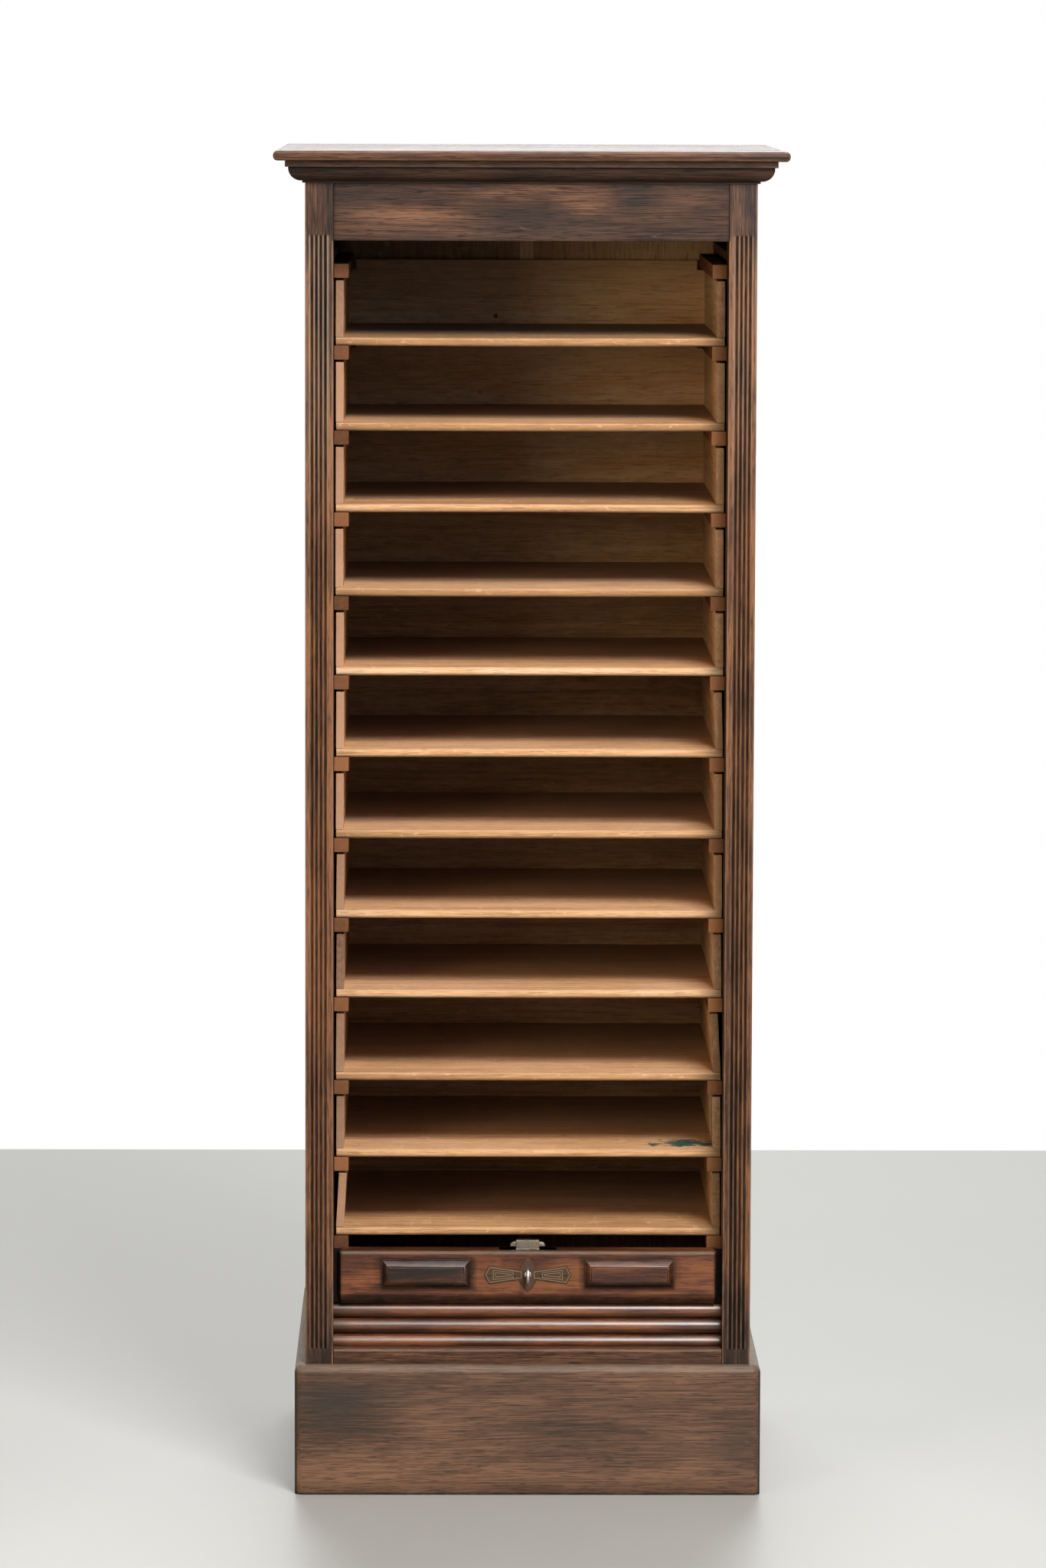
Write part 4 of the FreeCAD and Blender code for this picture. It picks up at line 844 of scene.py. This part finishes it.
class CABINET_OT_plinth(bpy.types.Operator):
    """Make the plinth boards with their rounded top edge and corners"""
    bl_idname = "cabinet.plinth"
    bl_label = "Plinth"

    def execute(self, context):
        a, r = sizes().arris, sizes().plinth_round
        case_board("plinth_front_board", "plinth_front", radii=(r, r, r, 0, a, r), turns=3, spacing=0.018,
                   marks=plinth_marks, rub=0.3)
        side = Stock("plinth_side_boards")
        for low, high in solids("plinth_sides"):
            outer = (r, 0) if low[X] < 0 else (0, r)
            board(side, low, high, Y, radii=(*outer, 0, a, a, r), turns=3, spacing=0.04, rub=0.3,
                  marks=lambda points: {"dust": 0.6 * fade(points[:, Z] - high[Z] + r, -0.002, 0.001)})
        side.ride(oak("stained_oak"), "carcass", "dark_oak", "plinth_sides")
        return {"FINISHED"}


class CABINET_OT_runners(bpy.types.Operator):
    """Make the runner bars that carry the trays"""
    bl_idname = "cabinet.runners"
    bl_label = "Runners"

    # How dark each bar is, lowest first: dirt, and painted shade where a bar lies in shadow
    DIRT = {
        "left_runners": (0.55, 0, 0.38, 0.2, 0.44, 0.28, 0, 0.32, 0.56, 0.14, 0.6, 0.42, 0.4),
        "right_runners": (0.14, 0.3, 0.4, 0, 0, 0.35, 0.17, 0.09, 0.37, 0.12, 0.1, 0.4, 0.3)}

    def execute(self, context):
        for node, bars in self.DIRT.items():
            stock = Stock(f"{node}_bars")
            for (low, high), dirt in zip(solids(node), bars, strict=True):
                board(stock, low, high, Y, radii=1.5 * sizes().arris, marks=lambda points: {"grime": dirt})
            stock.ride(oak("runner_oak"), "carcass", "inner_oak", node)
        return {"FINISHED"}


# Each tray: how light its bottom is, how pale its nose is rubbed, how dark painted shade makes its back at the left
# and right, and how dark the front ends of its two sides are with dirt and painted shade
TRAYS = (
    (-1.5, -0.95, (0.45, 0), (0.32, 0.45)), (0.1, -0.95, (0.42, 0), (0, 0.4)),
    (-1.0, -0.1, (0.38, 0.05), (0.12, 0.2)), (0.5, -1.1, (0.42, 0.35), (0, 0.25)),
    (0.0, 0.65, (0.3, 0.32), (0, 0.32)), (0.3, 0.0, (0.38, 0.58), (0, 0.25)),
    (0.6, -0.35, (0.25, 0.55), (0, 0.15)), (0.2, 0.1, (0.3, 0.4), (0.17, 0.2)),
    (0.3, 0.1, (0.2, 0.2), (0.5, 0.5)), (0.5, -0.45, (0.2, 0.2), (0.3, 0.5)),
    (0.2, -0.2, (0.2, 0.2), (0.32, 0.4)), (-0.5, -0.45, (0.2, 0.2), (0.08, 0.48)))
# How far the left and right sides of a tray lean in at the top, in degrees
LEANS = {6: (0.4, 1.6), 8: (0.8, 0.3), 9: (0.5, 0.9), 10: (0.6, 3.4), 11: (0.3, 0.8), 12: (3.2, 0.5)}
BLOTTED = {1: "knot", 11: "ink"}


def tray(number):
    """One tray, with a bottom that has bent and sides that lean."""
    s = sizes()
    a, nose = s.arris, s.tray_nose
    name = f"tray_{number:02d}"
    tone, paleness, back_shade, end_dirt_and_shade = TRAYS[number - 1]
    low, high = box_of(f"{name}_base")
    floor = low[Z] + s.tray_bottom
    stock = Stock(f"{name}_boards")
    bow = stock.draw.uniform(-1, 1) * s.tray_bow
    held = 0.012
    middle, half = (low[X] + high[X]) / 2, (high[X] - low[X]) / 2 - held

    def bend(points):
        up = bow * np.clip(1 - ((points[:, X] - middle) / half) ** 2, 0, 1)
        return points + np.outer(up, (0, 0, 1))

    def bottom_marks(points):
        _, y, z = (points - low).T
        near = fade(y, 0.0045, 0.0005)
        # A painted shadow of the right stile darkens the right end of the nose; the nose is also darker along its
        # lower edge.
        stile_shadow = fade(points[:, X] - high[X], -0.014, -0.006)
        under = fade(z, 0.0025, 0.0005)
        return {
            "patch": paleness * near, "grime": np.maximum(0.7 * under, 0.45 * stile_shadow) * near,
            "tone": tone * (1 - near), "dust": 0.6 * fade(y, 0.05, 0.17)}

    board(stock, low, (high[X], high[Y], floor), X, radii=(a, a, nose, a, nose, nose), turns=2, move=bend,
          spacing=0.03, marks=bottom_marks)
    wall = box_of(f"{name}_sides")[1][Z]
    tray_back(stock, low, high, floor, wall, back_shade)
    leans = LEANS.get(number, (stock.draw.uniform(0, 0.4), stock.draw.uniform(0, 0.4)))
    for side, ((start, end), lean) in enumerate(zip(solids(f"{name}_sides"), leans)):
        foot = start[X] if side else end[X]
        slope = math.sin(math.radians(-lean if side else lean))

        def tilt(points):
            x, y, z = points.T
            return np.stack([x + (z - start[Z]) * slope, y, z - (x - foot) * slope], axis=1)

        def side_marks(points):
            tip = fade(points[:, Y] - start[Y], 0.003, 0.001)
            # The right side's front end is darkened as the painted shadow of the right stile: more grime, a darker
            # stain and less end grain colour. The left side's end gets darker towards the top.
            if side:
                return {"grime": end_dirt_and_shade[1] * tip, "patch": -0.7 * tip, "dust": 0.08 * (1 - tip), "cut": 0.25}
            head = fade(points[:, Z] - end[Z], -0.03, 0)
            return {"grime": (end_dirt_and_shade[0] + 0.16 * head) * tip, "dust": 0.12 * (1 - tip)}

        board(stock, start, end, Y, radii=a, move=tilt, spacing=0.08, marks=side_marks)
    material = oak("natural_oak", spot=BLOTTED.get(number))
    stock.ride(material, name, "tray_oak", f"{name}_base", f"{name}_sides")


def tray_back(stock, low, high, floor, wall, dirt):
    """A tray's back, notched at its upper corners, with painted shade that darkens it towards one end."""
    s = sizes()
    left, right = low[X] + s.tray_notch, high[X] - s.tray_notch
    front, rear, a = high[Y] - s.tray_back, high[Y], s.arris
    step = 0.0002
    stations = [
        (low[X], wall), (left - step, wall), *((x, high[Z]) for x in np.linspace(left, right, 13)),
        (right + step, wall), (high[X], wall)]
    points, faces = loft([np.array([
        (x, front, floor), (x, rear, floor), (x, rear, head - a), (x, rear - a, head), (x, front + a, head),
        (x, front, head - a)]) for x, head in stations])
    # Painted shade, from the left end to the right end of the back.
    grime = dirt[0] + (dirt[1] - dirt[0]) * fade(points[:, X], low[X], high[X])
    stock.add(points, faces, np.tile((0, 0, 0.8, 1, 1, 0.8), len(stations)), X, dust=0.06, grime=grime)


class CABINET_OT_trays(bpy.types.Operator):
    """Make the twelve open trays, some with sides that have worked loose"""
    bl_idname = "cabinet.trays"
    bl_label = "Trays"

    def execute(self, context):
        for number in range(1, TRAY_COUNT + 1):
            tray(number)
        return {"FINISHED"}


def lock_rail():
    """The rail's bevelled face, and the tongues that run in the tracks."""
    s = sizes()
    clear, end_bevel, top_bevel, set_in, overlap = 0.0045, 0.003, 0.0016, 0.0003, 0.002
    low, high = box_of("lock_rail")
    tongue_low, tongue_high = box_of("front_slats")
    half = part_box("right_front_stile")[0].x - clear
    grip_boxes = solids("rail_grips")

    def marks(points):
        # Painted shade darkens the lower edge, the ends beside the stiles and a ring round each grip; a pale painted
        # highlight runs along the top edge.
        x, y, z = points.T
        layers = [0.85 * fade(z - low[Z], 0.012, 0.006), 0.8 * fade(np.abs(x) - half, -0.005, -0.001)]
        for start, end in grip_boxes:
            aside, above = x - np.clip(x, start[X], end[X]), z - np.clip(z, start[Z], end[Z])
            layers.append(0.8 * fade(np.hypot(aside, above), 0.005, 0))
        grime = np.max(layers, axis=0)
        edge = fade(z - high[Z], -0.003, -0.001) * fade(y - low[Y], 0.003, 0.001)
        return {"grime": grime, "patch": 0.2 - 0.2 * grime, "dust": 0.6 * edge * (1 - grime)}

    stock = Stock("lock_rail_board")
    board(stock, (-half, low[Y], low[Z]), (half, high[Y] - set_in, high[Z]), X, power=1, spacing=0.006, marks=marks,
          radii=(end_bevel, end_bevel, s.rail_bevel_in, s.arris, s.rail_bevel, top_bevel))
    # The tongues that run in the tracks are darkened as painted shade.
    for start, stop in ((low[X], -half + overlap), (half - overlap, high[X])):
        board(stock, (start, tongue_low[Y], low[Z]), (stop, tongue_high[Y], high[Z]), Z,
              marks=lambda points: {"grime": 1.2})
    stock.ride(oak("rail_oak"), "shutter", "dark_oak", "lock_rail")


# Steps of a grip from its foot: inset and rise in millimetres, how worn, and how dark with painted shade
GRIP_STEPS = (
    (0, 0, 0.4, 0.75), (0.0, 1.3, 0.5, 0.75), (0.35, 1.6, 0.9, 0.75), (1.4, 1.7, 0.2, 0.75), (5.9, 6.5, 0.7, 0),
    (6.3, 6.9, 1, 0), (6.9, 7.0, 0.1, 0.75), (7.1, 8.1, 0.4, 0), (7.6, 8.6, 0.8, 0), (9.0, 8.6, 0.1, 0))


def grips():
    """Two blocks with sloped edges, a small step and a flat field."""
    stock = Stock("rail_grip_blocks")
    insets, rises, worn, grime = np.array(GRIP_STEPS).T
    for low, high in solids("rail_grips"):
        outline = [(low[X], low[Z]), (high[X], low[Z]), (high[X], high[Z]), (low[X], high[Z])]
        points, faces = loft([
            ring_in_xz(inset_outline(outline, inset * MILLIMETRE), high[Y] - rise * MILLIMETRE)
            for inset, rise in zip(insets, rises)])
        stock.add(points, faces, np.repeat(worn, 4), X, grime=np.repeat(grime, 4), patch=-0.1)
    stock.ride(oak("rail_oak"), "shutter", "dark_oak", "rail_grips")


def slat(stock, count, places, middle, patch, end_dirt_and_shade=0.0):
    """Add a half-round slat. count is the points round its face, places its ends and its stations."""
    s = sizes()
    low, high = box_of("front_slats")
    deep, tall = high[Y] - low[Y], s.slat_pitch - s.slat_gap
    rise = deep - s.slat_edge
    radius = (rise ** 2 + (tall / 2) ** 2) / (2 * rise)
    reach = math.degrees(math.asin(min(1, tall / 2 / radius)))
    soft, crest_turn = 0.0003, 1.35
    face = arc((radius - deep, 0), radius, 180 + reach, 180 - reach, count)
    outline = np.vstack([face, [(0, tall / 2 - soft), (0, soft - tall / 2)]])
    crest = np.cos(np.linspace(-crest_turn, crest_turn, count)) ** 2
    points, faces = loft([np.insert(outline + (high[Y], middle), 0, x, axis=1) for x in np.linspace(*places)])
    # Painted shade darkens the valleys between slats and their ends beside the stiles.
    worn, grime = (
        np.tile([*values, 0, 0], places[-1]) for values in (0.5 * crest, 0.8 * (1 - crest) ** 2))
    ends = end_dirt_and_shade * fade(np.abs(points[:, X]), 0.19, 0.2)
    stock.add(points, faces, worn, X, grime=np.maximum(grime, ends), patch=patch)


def slats():
    """The slats that show under the lock rail while the shutter is open."""
    stock = Stock("front_slat_bars")
    for start, end in solids("front_slats"):
        slat(stock, 13, (start[X], end[X], 15), (start[Z] + end[Z]) / 2, 0.5, 0.6)
    stock.ride(oak("shutter_oak"), "shutter", "dark_oak", "front_slats")


def curtain():
    """Slats in the plinth behind the lock rail, drawn together under the front slats as they lie while the shutter is
    open. They are laid out from where they would lie once it is shut, but are built only drawn in and ride on no
    body."""
    low, high = box_of("front_slats")
    travel = next(-j["range_m"][0] for j in frame["joints"] if j["name"] == "shutter_slide")
    pitch, gap, room = sizes().slat_pitch, 0.0006, 0.0085
    floor, ceiling = low[Z] - room, low[Z] - gap
    top = ceiling + travel
    stock = Stock("curtain_slats")
    for n in range(int((top - floor) / pitch)):
        slat(stock, 7, (low[X], high[X], 6), top - (n + 0.5) * pitch, 0.1)
    for block in stock.points:
        block[:, Z] = drawn_in(block[:, Z], floor, ceiling, travel)
    made = stock.thing(oak("shutter_oak"))
    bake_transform(made)


def drawn_in(shut, floor, ceiling, travel):
    """Heights in the open shutter of points whose heights in the shut one are given."""
    share = np.linspace(0, 1, 200001)
    drawn = floor + share * (ceiling - floor)
    return np.interp(shut, drawn + travel * fade(share, 0, 1), drawn)


class CABINET_OT_shutter(bpy.types.Operator):
    """Make the lock rail with its two grips, and the slats under it"""
    bl_idname = "cabinet.shutter"
    bl_label = "Shutter"

    def execute(self, context):
        lock_rail()
        grips()
        slats()
        curtain()
        return {"FINISHED"}


# Sizes of the plate as shares of its half height, and of its shoulders along its half width
PLATE_OUTER, PLATE_INNER, PLATE_SHOULDER = 19 / 35, 7.5 / 35, 40 / 45
PIN_SUNK = 0.0002


def escutcheon():
    """The brass plate with two framed wings, a pierced middle and four pins."""
    low, high = box_of("escutcheon")
    back, front = high[Y], low[Y]
    key_z = sum(c[Z] for c in box_of("key")) / 2
    middle, tall = (low[Z] + high[Z]) / 2, (high[Z] - low[Z]) / 2
    tip, shoulder = high[X], high[X] * PLATE_SHOULDER
    outer, inner = tall * PLATE_OUTER, tall * PLATE_INNER
    root, panel_in, panel_out, soft = 0.005, 0.0145, shoulder - 0.004, 0.0003
    root_half = inner + (outer - inner) * root / shoulder
    wing = np.array([(root, -root_half), (shoulder, -outer), (tip, 0), (shoulder, outer), (root, root_half)])
    panel = np.array([
        (panel_in, -inner * 0.85), (panel_out, -outer * 0.56), (panel_out, outer * 0.56), (panel_in, inner * 0.85)])
    stock = Stock("escutcheon_plate")
    for sign in (1, -1):
        def turned(outline, inset=0.0):
            return inset_outline((outline * (sign, 1))[::sign] + (0, middle), inset)

        stock.add(*loft([
            ring_in_xz(turned(wing, inset), y) for inset, y in ((0, back), (0, front + soft), (soft, front))]))
        for outline, inset, width in ((wing, 0.001, 0.0012), (panel, 0, 0.0011), (panel, 0.0022, 0.0011)):
            beads = [
                ring_in_xz(turned(outline, inset + width * share), front + rise)
                for share, rise in ((0, 0.0002), (0.3, -0.0006), (0.7, -0.0006), (1, 0.0002))]
            stock.add(*hoop(beads), np.repeat((0, 0.8, 0.8, 0), len(outline)))
    pierced_lobe(stock, middle, key_z, tall, back, front)
    pin_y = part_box("escutcheon_pins")[1].y + PIN_SUNK
    for start, end in solids("escutcheon_pins"):
        centre, radius = (start + end) / 2, (end[X] - start[X]) / 2
        rise = end[Y] - start[Y] + PIN_SUNK
        stock.add(*loft([
            ring_in_xz(circle(centre[[X, Z]], radius * math.sqrt(max(0.04, 1 - up ** 2)), 12), pin_y - rise * up)
            for up in (0, 0.35, 0.7, 0.92, 1)]))
    aged_brass = metal("aged_brass", finish().brass, finish().patina, 0.4, 0.36, 0.12)
    stock.ride(aged_brass, "shutter", "brass", "escutcheon", "escutcheon_pins")
    # A near-black plate behind the keyhole stands in for the shade inside it.
    shade_plate = Stock("keyhole_liner")
    board(shade_plate, (-0.0034, back - 0.0003, key_z - 0.0075), (0.0034, back + 0.0004, key_z + 0.0036), X, radii=0.0002)
    shade_plate.ride(metal("keyhole_iron", (0.012, 0.011, 0.01), (0.006, 0.005, 0.005), 0, 0.7), "shutter", "lock_steel")


def pierced_lobe(stock, middle, key_z, tall, back, front):
    """The pointed middle of the plate, between two arcs, pierced by the keyhole."""
    half = tall * PLATE_OUTER
    radius = (half ** 2 + tall ** 2) / (2 * half)
    hole_radius, slit_low, slit_half = 0.003, 0.0068, 0.0015
    start = np.array((0.0, key_z - middle))
    hole, edge = [], []
    for turn in np.radians(np.arange(0, 360, 7.5)):
        way = np.array((math.cos(turn), math.sin(turn)))
        reach = hole_radius
        if way[1] < -0.2:
            reach = max(reach, min(slit_low / -way[1], slit_half / max(abs(way[0]), 1e-6)))
        hole.append(start + way * reach)
        exits = []
        for side in (-1, 1):
            off = start - (side * (radius - half), 0)
            along = off @ way
            exits.append(-along + math.sqrt(along ** 2 - off @ off + radius ** 2))
        edge.append(start + way * min(exits))
    hole, edge = np.array(hole) + (0, middle), np.array(edge) + (0, middle)
    centre = np.array((0, key_z))
    crown, field = (centre + (edge - centre) * share for share in (0.96, 0.86))
    loops = (
        (edge, back), (edge, front), (crown, front - 0.0003), (field, front - 0.0002), (hole, front - 0.0003),
        (hole, back))
    stock.add(*hoop([ring_in_xz(outline, y) for outline, y in loops]))


def key():
    """The key: an oval bow, a collared shank and the bit."""
    low, high = box_of("key")
    axis, outer = (low[Z] + high[Z]) / 2, (high[Z] - low[Z]) / 2
    thick, narrow = 0.0019, 0.9
    middle = np.array((low[Y] + outer * 0.92, axis))
    section = np.radians(np.arange(0, 360, 36))
    out = outer - thick + thick * np.cos(section)
    stock = Stock("key_with_bow")
    loops = []
    for turn in np.radians(np.arange(0, 360, 9)):
        way = (math.cos(turn) * narrow, math.sin(turn))
        loops.append(np.column_stack([0.0017 * np.sin(section), middle + np.outer(out, way)]))
    stock.add(*hoop(loops))
    near, far = middle[0] + (outer - 2 * thick) * narrow, high[Y]
    shank = (
        (0, 0.0016), (0.0006, 0.0024), (0.003, 0.0024), (0.0034, 0.0034), (0.005, 0.0034), (0.0056, 0.0026),
        (far - near - 0.0006, 0.0026), (far - near, 0.002))
    stock.add(*loft([ring_in_xz(circle((0, axis), radius, 18), near + along) for along, radius in shank]))
    board(stock, (-0.0011, far - 0.005, axis - 0.0065), (0.0011, far, axis - 0.001), Y, radii=0.0003)
    bright = metal("bright_steel", (0.4, 0.38, 0.35), (0.2, 0.165, 0.13), 0.0, 0.26)
    stock.ride(bright, "key", "key_steel", "key")


class CABINET_OT_fittings(bpy.types.Operator):
    """Make the brass escutcheon and the key, and finish the steel lock"""
    bl_idname = "cabinet.fittings"
    bl_label = "Escutcheon, key and lock"

    def execute(self, context):
        escutcheon()
        key()
        steel = metal("worn_steel", finish().steel, finish().rust, -0.02, 0.34)
        for node in ("lock_case", "claw_left", "claw_right", "strike_plate"):
            carry_over(node, steel, 0.0004)
        return {"FINISHED"}


class CABINET_OT_hidden(bpy.types.Operator):
    """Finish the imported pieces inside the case"""
    bl_idname = "cabinet.hidden"
    bl_label = "Inner pieces"

    def execute(self, context):
        for node, along in (("left_track_rail", Y), ("right_track_rail", Y), ("head_rail", X), ("stored_slats", X)):
            carry_over(node, oak("stained_oak", along))
        for node in ("base_board", "tail_stop"):
            carry_over(node, oak("runner_oak", X))
        linen = canvas()
        for node in ("shutter_canvas", "stored_canvas"):
            carry_over(node, linen)
        return {"FINISHED"}


# Stage
FLOOR_HALF, FLOOR_END = 30.0, 1.92
EYE = (-0.0813, -6.939, 1.4815)
YAW, PITCH, ROLL = 0.636, -6.338, 0.185
LENS, SENSOR, SIGHT = 152.65, 36, 200
CASE_MIDDLE, SHUTTER_FRONT = (0, -0.2, 0.75), (0, -0.2, 0.25)
# Name, place, aim, width, height, power, colour, and whether dull surfaces are lit too
LAMPS = (
    ("key_light", (1.0, -3.0, 3.2), CASE_MIDDLE, 1.3, 1.3, 178, (1, 1, 1), True),
    ("overhead_light", (0.2, -0.45, 3.3), CASE_MIDDLE, 2.2, 0.7, 90, (1, 1, 1), False),
    ("window_light", (-2.2, -3.4, 1.45), CASE_MIDDLE, 1.0, 1.0, 30, (1.0, 0.84, 0.52), True),
    ("rear_light", (0, 3.2, 2.8), CASE_MIDDLE, 2.0, 1.5, 95, (1, 1, 1), True),
    ("sheen_light", (0.9, -4.6, 2.5), SHUTTER_FRONT, 1.0, 1.6, 380, (1, 1, 1), False))


def whiten(t, output, shader, white, where):
    """Show white for rays from the camera, and for what metal and polish show."""
    path = t.put("LightPath").outputs
    shown = t.maths("MAXIMUM", path["Is Camera Ray"], path["Is Glossy Ray"])
    shown = t.maths("MAXIMUM", shown, path["Is Transmission Ray"])
    both = t.put("MixShader", {0: t.times(shown, where), 1: shader.outputs[0], 2: white.outputs[0]})
    t.feed(t.tree.nodes[output], {"Surface": both.outputs[0]})


def make_floor():
    """A pale floor that ends in a white wall."""
    h = FLOOR_HALF
    mesh = bpy.data.meshes.new("floor")
    mesh.from_pydata([(-h, -h, 0), (h, -h, 0), (h, h, 0), (-h, h, 0)], [], [(0, 1, 2, 3)])
    floor = in_scene("floor", mesh)
    t = Shader("pale_floor")
    place, pale = t.place(), finish().floor
    cloud = t.noise(place, (1.4, 1.4, 1.4), 5, 0.6)
    mottle = t.times(t.noise(place, (60, 60, 60), 3, 0.6), 0.25, t.times(cloud, 0.75))
    mesh.materials.append(t.surface(
        Base_Color=t.mix(mottle, solid(pale, 0.92), solid(pale, 1.06)), Roughness=t.times(cloud, 0.2, 0.28),
        Specular_IOR_Level=0.4))
    wall = t.put("Emission", {"Color": WHITE, "Strength": 1.0})
    beyond = t.remap(t.put("SeparateXYZ", {0: place}).outputs[Y], FLOOR_END, FLOOR_END + 0.01)
    whiten(t, "Material Output", t.principled, wall, beyond)


def make_world():
    """A plain fill, which shows as white."""
    world = bpy.data.worlds.new("studio")
    bpy.context.scene.world = world
    world.use_nodes = True
    t = Nodes(world.node_tree)
    fill = t.tree.nodes["Background"]
    t.feed(fill, {"Color": (1.0, 0.985, 0.96, 1), "Strength": 0.34})
    whiten(t, "World Output", fill, t.put("Background", {"Color": WHITE, "Strength": 1.0}), 1.0)


def make_lamp(name, place, aim, wide, tall, power, tint, on_dull):
    data = bpy.data.lights.new(name, "AREA")
    data.shape = "RECTANGLE"
    data.size, data.size_y, data.energy, data.color = wide, tall, power, tint
    lamp = in_scene(name, data)
    lamp.location, lamp.visible_diffuse = place, on_dull
    lamp.rotation_euler = (Vector(aim) - Vector(place)).to_track_quat("-Z", "Y").to_euler()


def make_camera():
    data = bpy.data.cameras.new("camera")
    data.lens, data.sensor_width, data.clip_end = LENS, SENSOR, SIGHT
    camera = in_scene("camera", data)
    yaw, pitch, roll = (math.radians(a) for a in (YAW, PITCH, ROLL))
    ahead = Vector((math.sin(yaw) * math.cos(pitch), math.cos(yaw) * math.cos(pitch), math.sin(pitch)))
    level = Vector((math.cos(yaw), -math.sin(yaw), 0))
    right = level * math.cos(roll) + level.cross(ahead) * math.sin(roll)
    turn = Matrix((right, right.cross(ahead), -ahead)).transposed().to_4x4()
    camera.matrix_world = Matrix.Translation(EYE) @ turn
    bpy.context.scene.camera = camera


class CABINET_OT_stage(bpy.types.Operator):
    """Make the floor, the light and the camera"""
    bl_idname = "cabinet.stage"
    bl_label = "Stage"

    def execute(self, context):
        context.scene.view_settings.view_transform = "Standard"
        make_floor()
        make_world()
        for lamp in LAMPS:
            make_lamp(*lamp)
        make_camera()
        return {"FINISHED"}


OPERATORS = (
    CABINET_OT_stiles, CABINET_OT_case, CABINET_OT_top, CABINET_OT_plinth, CABINET_OT_runners, CABINET_OT_trays,
    CABINET_OT_shutter, CABINET_OT_fittings, CABINET_OT_hidden, CABINET_OT_stage)


class CABINET_PT_panel(bpy.types.Panel):
    """Lists the cabinet's pieces"""
    bl_idname = "CABINET_PT_panel"
    bl_label = "Tambour filing cabinet"
    bl_space_type = "VIEW_3D"
    bl_region_type = "UI"
    bl_category = "Cabinet"

    def draw(self, context):
        for operator in OPERATORS:
            self.layout.operator(operator.bl_idname)
        for group in (context.scene.cabinet_sizes, context.scene.cabinet_finish):
            column = self.layout.column()
            for name in group.bl_rna.properties.keys():
                if name not in ("rna_type", "name"):
                    column.prop(group, name)


CLASSES = (CabinetSizes, CabinetFinish, *OPERATORS, CABINET_PT_panel)


def register():
    for made in CLASSES:
        bpy.utils.register_class(made)
    bpy.types.Scene.cabinet_sizes = bpy.props.PointerProperty(type=CabinetSizes)
    bpy.types.Scene.cabinet_finish = bpy.props.PointerProperty(type=CabinetFinish)


def unregister():
    del bpy.types.Scene.cabinet_finish
    del bpy.types.Scene.cabinet_sizes
    for made in reversed(CLASSES):
        bpy.utils.unregister_class(made)


def main():
    register()
    for operator in OPERATORS:
        getattr(bpy.ops.cabinet, operator.bl_idname.split(".")[1])()


if __name__ == "__main__":
    main()
